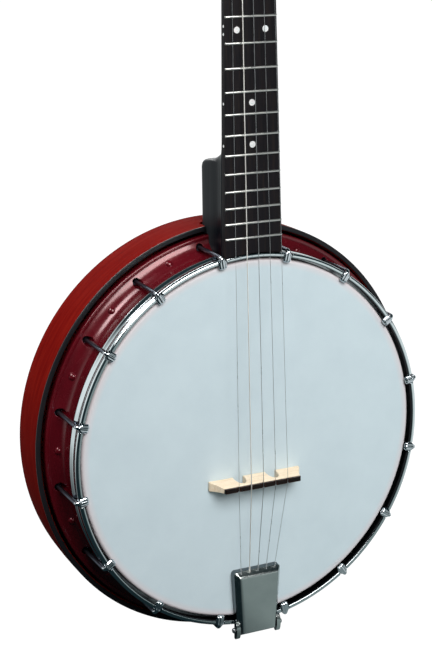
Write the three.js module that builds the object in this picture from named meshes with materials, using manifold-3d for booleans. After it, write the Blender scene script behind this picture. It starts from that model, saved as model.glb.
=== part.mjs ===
// A five-string resonator banjo with a cast one-piece pot, as an assembly of
// separate pieces. Millimetres. +Z runs along the neck towards the peghead,
// +X is the treble side, and the drum head faces -Y. The origin is the centre
// of the flat on the resonator's back, where the banjo lies on a table.
import * as THREE from 'three';
import { mergeVertices } from 'three/addons/utils/BufferGeometryUtils.js';
import Module from 'manifold-3d';

const wasm = await Module();
wasm.setup();

// ---------------------------------------------------------------- dimensions

// Depths are written from the drum head's front face, which is DEPTH in front
// of the resonator's back, and atDepth() turns them into the part's own Y.
const DEPTH = 90;
const atDepth = (depth) => depth - DEPTH;

const SCALE_LENGTH = 666.75;
const FRET_COUNT = 22;
const FIFTH_PEG_FRET = 5;
const STRING_COUNT = 5;

const ROUND_STEPS = 48;
const FIT_GAP = 0.3;
const GLUE_GAP = 0.05;
const SLIVER = 0.01;

const HEAD_RADIUS = 139.2;
const HEAD_THICKNESS = 0.4;

const POT_INNER_RADIUS = 131.5;
const POT_WALL_RADIUS = 141.5;
const POT_BEARING_RADIUS = 138.5;
const BEARING_EDGE_DEPTH = 0.8;
const POT_STEP_DEPTH = 12.4;
const POT_BACK_DEPTH = 62;
const COVE_RADIUS = 14;
const COVE_START_DEPTH = 24;
const COVE_END_RADIUS = 150.6;
const FLANGE_FRONT_DEPTH = 36.6;
const FLANGE_BACK_DEPTH = 43;
const FLANGE_RADIUS = 153.6;

const HOOP_INNER_RADIUS = 141.2;
const HOOP_OUTER_RADIUS = 144.8;
const HOOP_TOP_DEPTH = -3.5;
const HOOP_BOTTOM_DEPTH = 11.3;
const HOOP_NOTCH_DEPTH = -1.2;
const HOOP_NOTCH_WIDTH = 7;
const FLESH_HOOP_RADIUS = 143;
const FLESH_HOOP_DEPTHS = [7, 11];

const HOOK_COUNT = 16;
const HOOK_CIRCLE_RADIUS = 146.5;
// The hooks are not quite even: those on the bass side stand up to a degree round from their places.
const HOOK_DRIFT_DEGREES = 0.5;
const HOOK_ROD_RADIUS = 1.6;
const HOOK_BEND_RADIUS = 2.5;
const HOOK_TOP_DEPTH = -3.3;
const HOOK_TIP_RADIUS = 137.8;
const HOOK_END_DEPTH = 52;
const HOOK_HOLE_RADIUS = 3;
const HOOK_NUT_RADIUS = 4.6;
const HOOK_NUT_DEPTHS = [43.3, 49.5];

const RESONATOR_RADIUS = 160;
const RESONATOR_WALL = 4;
const RESONATOR_BACK_THICKNESS = 5;
const RESONATOR_FLAT_RADIUS = 60;
const RIM_DEPTH = 39.5;
const BINDING_HEIGHT = 1.5;
const HEEL_NOTCH_HALF_WIDTH = 19.5;
const HEEL_NOTCH_DEPTH = 55;

const LUG_CIRCLE_RADIUS = 147;
const LUG_RADIUS = 4.5;
const LUG_END_DEPTH = 78.6;
const LUG_ANGLES = [45, 135, 225, 315];
const SCREW_RADIUS = 1.8;
const SCREW_HOLE_RADIUS = 2.2;
const SCREW_HEAD_RADIUS = 4.2;
const SCREW_HEAD_HEIGHT = 2.4;
const SCREW_TIP_DEPTH = 66;

const ROD_DEPTH = 21;
const ROD_RADIUS = 4;
const ROD_HOLE_RADIUS = 4.5;
const ROD_HEEL_END = 174;
const ROD_TAIL_END = -154.5;

// The bridge stands a little past the scale's end, which keeps fretted notes in tune.
const SCALE_END_Z = -29.8;
const BRIDGE_Z = -31.6;
const BRIDGE_CENTRE_X = 1.1;
const BRIDGE_STRING_DEPTH = -16.9;
const BRIDGE_FOOT_HALF = 38.5;
const BRIDGE_TOP_HALF = 32.3;
const BRIDGE_BODY_TOP = -15;
const BRIDGE_CAP_TOP = -17.2;
const BRIDGE_FOOT_THICKNESS = 6.4;
const BRIDGE_TOP_THICKNESS = 3.6;
const BRIDGE_MIDDLE_FOOT_HALF = 9.5;
const BRIDGE_GAP = 8.5;
const BRIDGE_ARCH_HEIGHT = 11.3;
const BRIDGE_SPACING = 10.36;
const STRING_RADIUS = 0.3;
const SLOT_RADIUS = 0.65;
// Room round each string, which falls and converges towards the tailpiece, when the bridge is shifted.
const BRIDGE_SLOT_DEPTH = 1.05;
const BRIDGE_SLOT_HALF = 0.95;

const NECK_TILT = THREE.MathUtils.degToRad(2.31);
const BOARD_END_Z = 148;
const BOARD_END_DEPTH = -4.12;
const NUT_STATION = SCALE_LENGTH + SCALE_END_Z - BOARD_END_Z;
const BOARD_THICKNESS = 5.5;
const TREBLE_EDGE = [23.3, 20.15];
const BASS_EDGE = [-24.5, -18.1];
const BASS_EDGE_SLIM = [-12.6, -11.6];
const STEP_STATIONS = [347, 363];
const FRET_WIDTH = 2.2;
const FRET_HEIGHT = 1.1;
const NUT_LENGTH = 5;
const NUT_STRING_X = [-7, 0.8, 8.6, 16.4];
const NUT_STRING_HEIGHT = 1.8;
const FIFTH_STRING_X = -14.9;

const HEEL_HALF_WIDTH = 18.5;
const HEEL_BACK = 55;
const HEEL_TOP_STATION = 65;
const HEEL_CORNER_DEPTH = 13;
const HEEL_CORNER_LENGTH = 8;
const HEEL_FILLET_LENGTH = 15;
// Along the shaft's visible part the wood leans in at once behind the board, then fills out.
const SLIM_SHAFT_STATIONS = [200, 300];
const NECK_THICKNESS = [23.5, 19];

const PEGHEAD_TILT = THREE.MathUtils.degToRad(13);
const PEGHEAD_THICKNESS = 14.5;
const PEGHEAD_LENGTH = 165;
const PEGHEAD_CENTRE_X = 4.3;
const POST_STATIONS = [48, 102];
const POST_SPREADS = [15, 17];
const POST_RADIUS = 3;
const POST_HOLE_RADIUS = 5;

const TRUSS_CHANNEL = { width: 6.4, depth: 9.5, start: 24 };
const TRUSS_POCKET = { width: 11, depth: 9, length: 24 };

const PEG_STATION = 337;
const PEG_HEIGHT = 9.9;
const PEG_SIDE_X = -18.1;

const PIN_Z = -147.5;
const PIN_DEPTH = -5.5;
const PIN_RADIUS = 1.1;
const PIN_BORE_RADIUS = 1.3;
const KNUCKLE_RADIUS = 2.4;
const TAIL_CENTRE_X = 1.2;
const COVER_TOP_Z = -101.3;
const COVER_TOP_HALF = 20.1;
const COVER_BOTTOM_Z = -152.3;
const COVER_BOTTOM_HALF = 16.7;
const COVER_FACE_DEPTH = -9.4;
const COVER_SKIRT_DEPTH = -0.9;
const SHEET = 1.2;
const BASE_DEPTHS = [-5.4, -4];
const LEG_Z = [-149.8, -148.4];
const TAIL_STRING_Z = -106;
const TAIL_STRING_DEPTH = -6.3;
const TAIL_STRING_SPACING = 7;

// -------------------------------------------------------------------- paints

const paint = (colour, roughness, metalness) => ({ color: colour, roughness, metalness });

const PAINTS = {
  castRed: paint(0x5a0810, 0.25, 0.3),
  resonatorRed: paint(0x8a1712, 0.4, 0),
  binding: paint(0x232226, 0.4, 0),
  chrome: paint(0xc9ced2, 0.15, 1),
  head: paint(0xc8d2d8, 0.6, 0),
  neckBlack: paint(0x151416, 0.35, 0),
  board: paint(0x1c1b20, 0.5, 0),
  bone: paint(0xe9e4d2, 0.4, 0),
  maple: paint(0xd9b98a, 0.5, 0),
  ebony: paint(0x1a1716, 0.45, 0),
  steel: paint(0xb9bcc0, 0.3, 1),
  pearl: paint(0xe8e6e0, 0.3, 0),
  plastic: paint(0x141414, 0.3, 0),
};

// ------------------------------------------------------------------- helpers

const point = (x, y, z) => new THREE.Vector3(x, y, z);
const radians = THREE.MathUtils.degToRad;

function signedVolume(positions, triangles) {
  const a = point(0, 0, 0);
  const b = point(0, 0, 0);
  const c = point(0, 0, 0);
  let total = 0;
  for (let i = 0; i < triangles.length; i += 3) {
    a.fromArray(positions, 3 * triangles[i]);
    b.fromArray(positions, 3 * triangles[i + 1]);
    c.fromArray(positions, 3 * triangles[i + 2]);
    total += a.dot(b.cross(c)) / 6;
  }
  return total;
}

// Welds a geometry, drops its flat slivers, faces it outwards and returns it as a manifold solid.
function solid(geometry) {
  const bare = geometry.clone();
  bare.deleteAttribute('normal');
  bare.deleteAttribute('uv');
  const welded = mergeVertices(bare, 1e-4);
  const index = welded.index.array;
  const triangles = [];
  for (let i = 0; i < index.length; i += 3) {
    const [a, b, c] = [index[i], index[i + 1], index[i + 2]];
    if (a !== b && b !== c && a !== c) triangles.push(a, b, c);
  }
  const positions = welded.attributes.position.array;
  if (signedVolume(positions, triangles) < 0) triangles.reverse();
  return new wasm.Manifold(new wasm.Mesh({
    numProp: 3,
    vertProperties: new Float32Array(positions),
    triVerts: new Uint32Array(triangles),
  }));
}

// The solid as a geometry, without the slivers that cuts leave behind.
function geometryOf(shape) {
  const mesh = shape.simplify(SLIVER).getMesh();
  const geometry = new THREE.BufferGeometry();
  geometry.setAttribute('position', new THREE.BufferAttribute(new Float32Array(mesh.vertProperties), 3));
  geometry.setIndex(new THREE.BufferAttribute(new Uint32Array(mesh.triVerts), 1));
  geometry.computeVertexNormals();
  return geometry;
}

const join = (shapes) => wasm.Manifold.union(shapes);
const cut = (shape, cutters) => shape.subtract(join(cutters));

// A turned solid about the Y axis from a path of (radius, depth).
function turned(path, curveSteps = 4) {
  const profile = path.getPoints(curveSteps);
  const first = profile[0];
  const last = profile[profile.length - 1];
  if (first.distanceTo(last) > 1e-6 && (first.x > 0 || last.x > 0)) profile.push(first.clone());
  const outline = profile.map((p) => new THREE.Vector2(p.x, atDepth(p.y)));
  return solid(new THREE.LatheGeometry(outline, ROUND_STEPS));
}

function outlinePath(points) {
  const path = new THREE.Path();
  path.moveTo(...points[0]);
  points.slice(1).forEach((p) => path.lineTo(...p));
  return path;
}

function box(xs, ys, zs) {
  const geometry = new THREE.BoxGeometry(xs[1] - xs[0], ys[1] - ys[0], zs[1] - zs[0]);
  geometry.translate((xs[0] + xs[1]) / 2, (ys[0] + ys[1]) / 2, (zs[0] + zs[1]) / 2);
  return solid(geometry);
}

// A round bar between two points; the two radii may differ.
function bar(start, end, radius, endRadius = radius, sides = 12) {
  const along = end.clone().sub(start);
  const geometry = new THREE.CylinderGeometry(endRadius, radius, along.length(), sides);
  const turn = new THREE.Quaternion().setFromUnitVectors(point(0, 1, 0), along.clone().normalize());
  geometry.applyQuaternion(turn);
  geometry.translate(...start.clone().add(end).multiplyScalar(0.5).toArray());
  return solid(geometry);
}

// Skins a row of rings that have equal point counts, and closes both ends.
function loft(rings) {
  const sides = rings[0].length;
  const points = rings.flat();
  const triangles = [];
  for (let r = 0; r < rings.length - 1; r += 1) {
    for (let k = 0; k < sides; k += 1) {
      const a = r * sides + k;
      const b = r * sides + ((k + 1) % sides);
      triangles.push(a, b, a + sides, b, b + sides, a + sides);
    }
  }
  for (const [start, flipped] of [[0, true], [(rings.length - 1) * sides, false]]) {
    const ring = points.slice(start, start + sides);
    const middle = ring.reduce((sum, p) => sum.add(p), point(0, 0, 0)).divideScalar(sides);
    const hub = points.push(middle) - 1;
    for (let k = 0; k < sides; k += 1) {
      const a = start + k;
      const b = start + ((k + 1) % sides);
      if (flipped) triangles.push(b, a, hub);
      else triangles.push(a, b, hub);
    }
  }
  const geometry = new THREE.BufferGeometry();
  geometry.setAttribute('position', new THREE.Float32BufferAttribute(points.flatMap((p) => p.toArray()), 3));
  geometry.setIndex(triangles);
  return solid(geometry);
}

// A wire along a bent line: rings stand square to the line, mitred at each bend.
function wire(line, radius, sides) {
  const rings = line.map((centre, i) => {
    const before = line[Math.max(i - 1, 0)];
    const after = line[Math.min(i + 1, line.length - 1)];
    const inward = centre.clone().sub(before).normalize();
    const outward = after.clone().sub(centre).normalize();
    const along = inward.clone().add(outward).normalize();
    const side = point(1, 0, 0).addScaledVector(along, -along.x);
    if (side.length() < 0.3) side.set(0, 1, 0).addScaledVector(along, -along.y);
    side.normalize();
    const up = along.clone().cross(side);
    const ring = [];
    for (let k = 0; k < sides; k += 1) {
      const angle = (2 * Math.PI * k) / sides;
      ring.push(centre.clone()
        .addScaledVector(side, radius * Math.cos(angle))
        .addScaledVector(up, radius * Math.sin(angle)));
    }
    return ring;
  });
  return loft(rings);
}

// Extrudes an outline of (x, z) through a range of y.
function plate(shape, ys, curveSteps = 8) {
  const geometry = new THREE.ExtrudeGeometry(shape, {
    depth: ys[1] - ys[0],
    bevelEnabled: false,
    curveSegments: curveSteps,
  });
  geometry.rotateX(Math.PI / 2);
  geometry.translate(0, ys[1], 0);
  return solid(geometry);
}

const banjo = new THREE.Group();

function addPiece(name, shape, look, parent = banjo) {
  const mesh = new THREE.Mesh(geometryOf(shape), new THREE.MeshStandardMaterial(look));
  mesh.name = name;
  parent.add(mesh);
}

// A place on the pot's circle, at an angle clockwise from the neck as the head is seen.
function onCircle(radius, degrees, depth) {
  const angle = radians(degrees);
  return point(radius * Math.sin(angle), atDepth(depth), radius * Math.cos(angle));
}

const hookAngles = Array.from({ length: HOOK_COUNT }, (_, k) => {
  const even = ((k + 0.5) * 360) / HOOK_COUNT;
  return even + HOOK_DRIFT_DEGREES * (1 - Math.sin(radians(even)));
});
const lerp = THREE.MathUtils.lerp;
const smooth = THREE.MathUtils.smoothstep;

// --------------------------------------------------------------- pot and head

function makePot() {
  const coveCentre = POT_WALL_RADIUS + COVE_RADIUS;
  const coveEnd = Math.acos((COVE_END_RADIUS - coveCentre) / COVE_RADIUS);
  const profile = new THREE.Path();
  profile.moveTo(POT_INNER_RADIUS, BEARING_EDGE_DEPTH);
  profile.lineTo(POT_BEARING_RADIUS - 3.2, BEARING_EDGE_DEPTH);
  profile.lineTo(POT_BEARING_RADIUS, BEARING_EDGE_DEPTH + 3.2);
  profile.lineTo(POT_BEARING_RADIUS, POT_STEP_DEPTH - 0.8);
  profile.lineTo(POT_WALL_RADIUS, POT_STEP_DEPTH);
  profile.lineTo(POT_WALL_RADIUS, COVE_START_DEPTH);
  profile.absarc(coveCentre, COVE_START_DEPTH, COVE_RADIUS, Math.PI, coveEnd, true);
  profile.lineTo(COVE_END_RADIUS, FLANGE_FRONT_DEPTH);
  profile.lineTo(FLANGE_RADIUS, FLANGE_FRONT_DEPTH);
  profile.lineTo(FLANGE_RADIUS, FLANGE_BACK_DEPTH);
  profile.lineTo(POT_WALL_RADIUS, FLANGE_BACK_DEPTH);
  profile.lineTo(POT_WALL_RADIUS, POT_BACK_DEPTH);
  profile.lineTo(POT_INNER_RADIUS, POT_BACK_DEPTH);
  const lugs = LUG_ANGLES.map((angle) => bar(
    onCircle(LUG_CIRCLE_RADIUS, angle, FLANGE_BACK_DEPTH - 1),
    onCircle(LUG_CIRCLE_RADIUS, angle, LUG_END_DEPTH),
    LUG_RADIUS,
    LUG_RADIUS,
    8,
  ));
  const hookHoles = hookAngles.map((angle) => bar(
    onCircle(HOOK_CIRCLE_RADIUS, angle, COVE_START_DEPTH),
    onCircle(HOOK_CIRCLE_RADIUS, angle, FLANGE_BACK_DEPTH + 2),
    HOOK_HOLE_RADIUS,
    HOOK_HOLE_RADIUS,
    8,
  ));
  const screwHoles = LUG_ANGLES.map((angle) => bar(
    onCircle(LUG_CIRCLE_RADIUS, angle, SCREW_TIP_DEPTH - 1),
    onCircle(LUG_CIRCLE_RADIUS, angle, LUG_END_DEPTH + 1),
    SCREW_HOLE_RADIUS,
    SCREW_HOLE_RADIUS,
    8,
  ));
  const rodHole = bar(
    point(0, atDepth(ROD_DEPTH), -FLANGE_RADIUS),
    point(0, atDepth(ROD_DEPTH), FLANGE_RADIUS),
    ROD_HOLE_RADIUS,
  );
  return cut(join([turned(profile), ...lugs]), [...hookHoles, ...screwHoles, rodHole]);
}

function makeHead() {
  const inner = HEAD_RADIUS - HEAD_THICKNESS;
  const collarEnd = FLESH_HOOP_DEPTHS[1] - 0.4;
  const profile = new THREE.Path();
  profile.moveTo(0, 0);
  profile.lineTo(HEAD_RADIUS - 2.8, 0);
  profile.quadraticCurveTo(HEAD_RADIUS, 0, HEAD_RADIUS, 3);
  profile.lineTo(HEAD_RADIUS, collarEnd);
  profile.lineTo(inner, collarEnd);
  profile.lineTo(inner, 3);
  profile.quadraticCurveTo(inner, HEAD_THICKNESS, HEAD_RADIUS - 3, HEAD_THICKNESS);
  profile.lineTo(0, HEAD_THICKNESS);
  return turned(profile, 2);
}

function makeFleshHoop() {
  const inner = HEAD_RADIUS + 0.2;
  const [top, bottom] = FLESH_HOOP_DEPTHS;
  return turned(outlinePath([
    [inner, top], [FLESH_HOOP_RADIUS, top], [FLESH_HOOP_RADIUS, bottom], [inner, bottom],
  ]));
}

function makeTensionHoop() {
  const skirtRadius = FLESH_HOOP_RADIUS + FIT_GAP;
  const shoulder = FLESH_HOOP_DEPTHS[0] - 0.4;
  const ring = turned(outlinePath([
    [HOOP_INNER_RADIUS, HOOP_TOP_DEPTH],
    [HOOP_OUTER_RADIUS, HOOP_TOP_DEPTH],
    [HOOP_OUTER_RADIUS, HOOP_BOTTOM_DEPTH],
    [skirtRadius, HOOP_BOTTOM_DEPTH],
    [skirtRadius, shoulder],
    [HOOP_INNER_RADIUS, shoulder],
  ]));
  const halfNotch = HOOP_NOTCH_WIDTH / 2;
  const notches = hookAngles.map((angle) => box(
    [-halfNotch, halfNotch],
    [atDepth(HOOP_TOP_DEPTH - 1), atDepth(HOOP_NOTCH_DEPTH)],
    [HOOP_INNER_RADIUS - 3, HOOP_OUTER_RADIUS + 3],
  ).rotate([0, angle, 0]));
  return cut(ring, notches);
}

// One bracket hook: a claw over the hoop, a straight rod and its hexagon nut behind the flange.
function makeHook(angle) {
  const rodRadius = HOOK_CIRCLE_RADIUS;
  const bendDepth = HOOK_TOP_DEPTH + HOOK_BEND_RADIUS;
  const line = [point(0, atDepth(HOOK_END_DEPTH), rodRadius), point(0, atDepth(bendDepth), rodRadius)];
  for (const turn of [45, 90]) {
    const bend = radians(turn);
    line.push(point(
      0,
      atDepth(bendDepth - HOOK_BEND_RADIUS * Math.sin(bend)),
      rodRadius - HOOK_BEND_RADIUS * (1 - Math.cos(bend)),
    ));
  }
  line.push(point(0, atDepth(HOOK_TOP_DEPTH), HOOK_TIP_RADIUS));
  const nut = bar(
    point(0, atDepth(HOOK_NUT_DEPTHS[0]), rodRadius),
    point(0, atDepth(HOOK_NUT_DEPTHS[1]), rodRadius),
    HOOK_NUT_RADIUS,
    HOOK_NUT_RADIUS,
    6,
  );
  return join([wire(line, HOOK_ROD_RADIUS, 6), nut]).rotate([0, angle, 0]);
}

// ------------------------------------------------------------------ resonator

function makeResonator() {
  const outer = RESONATOR_RADIUS;
  const inner = outer - RESONATOR_WALL;
  const back = DEPTH;
  const inside = back - RESONATOR_BACK_THICKNESS;
  const edge = RIM_DEPTH + BINDING_HEIGHT + GLUE_GAP;
  const profile = new THREE.Path();
  profile.moveTo(inner, edge);
  profile.lineTo(outer, edge);
  profile.lineTo(outer - 1.2, back - 12);
  profile.quadraticCurveTo(outer - 2, back - 4.8, outer - 10, back - 4.4);
  profile.quadraticCurveTo((outer + RESONATOR_FLAT_RADIUS) / 2, back, RESONATOR_FLAT_RADIUS, back);
  profile.lineTo(0, back);
  profile.lineTo(0, inside);
  profile.lineTo(RESONATOR_FLAT_RADIUS, inside);
  profile.quadraticCurveTo((outer + RESONATOR_FLAT_RADIUS) / 2, inside, outer - 12, inside - 4.2);
  profile.quadraticCurveTo(inner - 2.4, inside - 5.4, inner - 1.6, inside - 11);
  const bowl = turned(profile, 4);
  const screwHoles = LUG_ANGLES.map((angle) => bar(
    onCircle(LUG_CIRCLE_RADIUS, angle, inside - 8),
    onCircle(LUG_CIRCLE_RADIUS, angle, back + 1),
    SCREW_HOLE_RADIUS,
    SCREW_HOLE_RADIUS,
    8,
  ));
  const sinks = LUG_ANGLES.map((angle) => bar(
    onCircle(LUG_CIRCLE_RADIUS, angle, screwSeatDepth - SCREW_HEAD_HEIGHT - FIT_GAP),
    onCircle(LUG_CIRCLE_RADIUS, angle, back + 1),
    SCREW_HEAD_RADIUS + FIT_GAP,
    SCREW_HEAD_RADIUS + FIT_GAP,
    12,
  ));
  return cut(bowl, [...screwHoles, ...sinks, heelNotch()]);
}

// The back of a screw head: level with the domed back just outside its recess.
const screwSeatDepth = DEPTH - 4.2;

function heelNotch() {
  return box(
    [-HEEL_NOTCH_HALF_WIDTH, HEEL_NOTCH_HALF_WIDTH],
    [atDepth(RIM_DEPTH - 5), atDepth(HEEL_NOTCH_DEPTH)],
    [RESONATOR_RADIUS / 2, RESONATOR_RADIUS + 10],
  );
}

function makeBinding() {
  const inner = RESONATOR_RADIUS - RESONATOR_WALL + 0.4;
  const ring = turned(outlinePath([
    [inner, RIM_DEPTH],
    [RESONATOR_RADIUS, RIM_DEPTH],
    [RESONATOR_RADIUS, RIM_DEPTH + BINDING_HEIGHT],
    [inner, RIM_DEPTH + BINDING_HEIGHT],
  ]));
  return cut(ring, [heelNotch()]);
}

function makeResonatorScrew(angle) {
  const headDepth = screwSeatDepth - SCREW_HEAD_HEIGHT;
  return join([
    bar(onCircle(LUG_CIRCLE_RADIUS, angle, SCREW_TIP_DEPTH),
      onCircle(LUG_CIRCLE_RADIUS, angle, headDepth + 0.5), SCREW_RADIUS, SCREW_RADIUS, 10),
    bar(onCircle(LUG_CIRCLE_RADIUS, angle, headDepth),
      onCircle(LUG_CIRCLE_RADIUS, angle, screwSeatDepth), SCREW_HEAD_RADIUS, SCREW_HEAD_RADIUS - 0.8, 12),
  ]);
}

// --------------------------------------------------------- rod through the pot

function makeCoordinatorRod() {
  const y = atDepth(ROD_DEPTH);
  const nutFaces = [POT_INNER_RADIUS - 0.8, POT_INNER_RADIUS - 7];
  const nuts = [1, -1].map((side) => bar(
    point(0, y, side * nutFaces[1]), point(0, y, side * nutFaces[0]), 7.5, 7.5, 6,
  ));
  return join([bar(point(0, y, ROD_TAIL_END), point(0, y, ROD_HEEL_END), ROD_RADIUS), ...nuts]);
}

function makeTailNut() {
  const y = atDepth(ROD_DEPTH);
  const start = LEG_Z[0] - FIT_GAP;
  const nut = bar(point(0, y, start), point(0, y, start - 3.6), 6.2, 6.2, 6);
  return cut(nut, [bar(point(0, y, start + 1), point(0, y, start - 6), ROD_RADIUS + FIT_GAP)]);
}

// ----------------------------------------------------------------- neck frame

// Neck pieces are built in the neck's own frame: the origin is on the front of
// the fingerboard at its pot end, +Z runs up the board ("station") and +Y goes
// into the wood. The frame leans back from the head by the neck's tilt.
const neckGroup = new THREE.Group();
neckGroup.position.set(0, atDepth(BOARD_END_DEPTH), BOARD_END_Z);
neckGroup.rotation.x = -NECK_TILT;
neckGroup.updateMatrixWorld(true);
banjo.add(neckGroup);

const toNeckFrame = neckGroup.matrixWorld.clone().invert();
const toBanjo = (x, y, station) => point(x, y, station).applyMatrix4(neckGroup.matrixWorld);
const inNeckFrame = (shape) => shape.transform(toNeckFrame.elements);

const fretStation = (n) => NUT_STATION - SCALE_LENGTH * (1 - 2 ** (-n / 12));

const trebleEdge = (station) => lerp(TREBLE_EDGE[0], TREBLE_EDGE[1], station / NUT_STATION);

function bassEdge(station) {
  const wide = lerp(BASS_EDGE[0], BASS_EDGE[1], station / fretStation(FIFTH_PEG_FRET));
  const slim = lerp(BASS_EDGE_SLIM[0], BASS_EDGE_SLIM[1], station / NUT_STATION);
  return lerp(wide, slim, smooth(station, ...STEP_STATIONS));
}

// Everything of the pot that the neck and the board must stay clear of.
function potClearance() {
  const front = HOOP_OUTER_RADIUS + 0.5;
  const wall = POT_WALL_RADIUS + 0.4;
  const flange = FLANGE_RADIUS + 0.6;
  const cove = [15, 35, 55, 64].map((turn) => [
    POT_WALL_RADIUS + COVE_RADIUS - (COVE_RADIUS - 0.5) * Math.cos(radians(turn)),
    COVE_START_DEPTH + (COVE_RADIUS - 0.5) * Math.sin(radians(turn)),
  ]);
  return inNeckFrame(turned(outlinePath([
    [0, -30], [front, -30], [front, POT_STEP_DEPTH], [wall, POT_STEP_DEPTH], [wall, COVE_START_DEPTH - 1],
    ...cove, [flange, FLANGE_FRONT_DEPTH - 0.6], [flange, 90], [0, 90],
  ])));
}

function makeFingerboard() {
  const start = -8;
  const end = NUT_STATION - GLUE_GAP;
  const [stepStart, stepEnd] = STEP_STATIONS;
  const outline = new THREE.Shape();
  outline.moveTo(trebleEdge(start), start);
  outline.lineTo(trebleEdge(end), end);
  outline.lineTo(bassEdge(end), end);
  outline.lineTo(bassEdge(stepEnd), stepEnd);
  for (let k = 5; k >= 0; k -= 1) {
    const station = lerp(stepStart, stepEnd, k / 6);
    outline.lineTo(bassEdge(station), station);
  }
  outline.lineTo(bassEdge(start), start);
  const frets = Array.from({ length: FRET_COUNT }, (_, k) => makeFret(fretStation(k + 1)));
  const board = plate(outline, [0, BOARD_THICKNESS - GLUE_GAP]);
  return cut(join([board, ...frets]), [potClearance()]);
}

function makeFret(station) {
  const half = FRET_WIDTH / 2;
  const ring = (x) => [
    point(x, 0.4, station - half),
    point(x, -FRET_HEIGHT * 0.5, station - half),
    point(x, -FRET_HEIGHT, station - half * 0.4),
    point(x, -FRET_HEIGHT, station + half * 0.4),
    point(x, -FRET_HEIGHT * 0.5, station + half),
    point(x, 0.4, station + half),
  ];
  return loft([ring(bassEdge(station) + 0.3), ring(trebleEdge(station) - 0.3)]);
}

// How far back the wood reaches at a station, measured from the board's front.
function neckBack(station) {
  const shaft = lerp(NECK_THICKNESS[0], NECK_THICKNESS[1], station / NUT_STATION);
  const cornerStart = HEEL_TOP_STATION - HEEL_CORNER_LENGTH;
  if (station <= cornerStart) return HEEL_BACK;
  const cornerEnd = HEEL_BACK - HEEL_CORNER_DEPTH;
  if (station <= HEEL_TOP_STATION) {
    const rise = (station - cornerStart) / HEEL_CORNER_LENGTH;
    return cornerEnd + HEEL_CORNER_DEPTH * Math.sqrt(1 - rise ** 2);
  }
  const left = Math.max(0, 1 - (station - HEEL_TOP_STATION) / HEEL_FILLET_LENGTH);
  return shaft + (cornerEnd - shaft) * (1 - Math.sqrt(1 - left ** 2));
}

// One ring of the neck: boxy with an undercut at the heel, rounded along the shaft.
// Each width is a share of the half width at a reach from the board (0) to the back (1).
function neckRing(station) {
  const front = neckFront(station);
  const depth = neckBack(station) - front;
  const centre = (trebleEdge(station) + bassEdge(station)) / 2;
  const half = (trebleEdge(station) - bassEdge(station)) / 2;
  const heel = 1 - smooth(station, HEEL_TOP_STATION - 4, HEEL_TOP_STATION + 18);
  const slim = 1 - smooth(station, ...SLIM_SHAFT_STATIONS);
  const reaches = [0, 0.1, 0.22, 0.36, 0.55, 0.72, 0.86, 0.95, 0.99];
  const side = reaches.map((reach) => {
    const undercut = Math.exp(-(((reach * depth) / 10) ** 2));
    const heelHalf = lerp(Math.min(HEEL_HALF_WIDTH, half), half, undercut);
    const full = (1 - reach ** 2.3) ** (1 / 2.3);
    const shaftHalf = half * lerp(full, (1 - reach ** 1.3) ** 0.6, slim);
    const width = lerp(shaftHalf, heelHalf * (1 - reach ** 14) ** (1 / 14), heel);
    return [width, front + reach * depth];
  });
  const treble = side.map(([width, y]) => point(centre + width, y, station));
  const bass = side.map(([width, y]) => point(centre - width, y, station)).reverse();
  return [...treble, point(centre, front + depth, station), ...bass];
}

const pegheadStart = NUT_STATION + NUT_LENGTH;

// The wood's front face: flat under the board, then falling away with the peghead's face.
function neckFront(station) {
  const beyond = Math.max(0, station - pegheadStart);
  return BOARD_THICKNESS + beyond * Math.tan(PEGHEAD_TILT) + (beyond > 0 ? 0.4 : 0);
}

const pegheadGroup = new THREE.Group();
pegheadGroup.position.set(PEGHEAD_CENTRE_X, BOARD_THICKNESS, pegheadStart);
pegheadGroup.rotation.x = -PEGHEAD_TILT;
neckGroup.add(pegheadGroup);
banjo.updateMatrixWorld(true);

const pegheadInNeck = pegheadGroup.matrix.clone();
const inPeghead = (shape) => shape.transform(pegheadInNeck.elements);
const pegheadToBanjo = (x, y, w) => point(x, y, w).applyMatrix4(pegheadGroup.matrixWorld);

// The peghead's face, symmetric: narrow at the nut, waisted, with a scalloped top.
function pegheadOutline() {
  const outline = new THREE.Shape();
  const nutHalf = 15.8;
  outline.moveTo(nutHalf, 0);
  outline.bezierCurveTo(17, 16, 30, 20, 30.5, 40);
  outline.bezierCurveTo(31, 62, 33, 84, 36, 112);
  outline.bezierCurveTo(38, 132, 33, 144, 21, 153);
  outline.quadraticCurveTo(11, 153, 0, PEGHEAD_LENGTH);
  outline.quadraticCurveTo(-11, 153, -21, 153);
  outline.bezierCurveTo(-33, 144, -38, 132, -36, 112);
  outline.bezierCurveTo(-33, 84, -31, 62, -30.5, 40);
  outline.bezierCurveTo(-30, 20, -17, 16, -nutHalf, 0);
  return outline;
}

const tunerPlaces = [
  { name: 'fourth', side: -1, row: 0, string: 1 },
  { name: 'third', side: -1, row: 1, string: 2 },
  { name: 'second', side: 1, row: 1, string: 3 },
  { name: 'first', side: 1, row: 0, string: 4 },
];
const postX = (place) => place.side * POST_SPREADS[place.row];
const postStation = (place) => POST_STATIONS[place.row];

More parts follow.
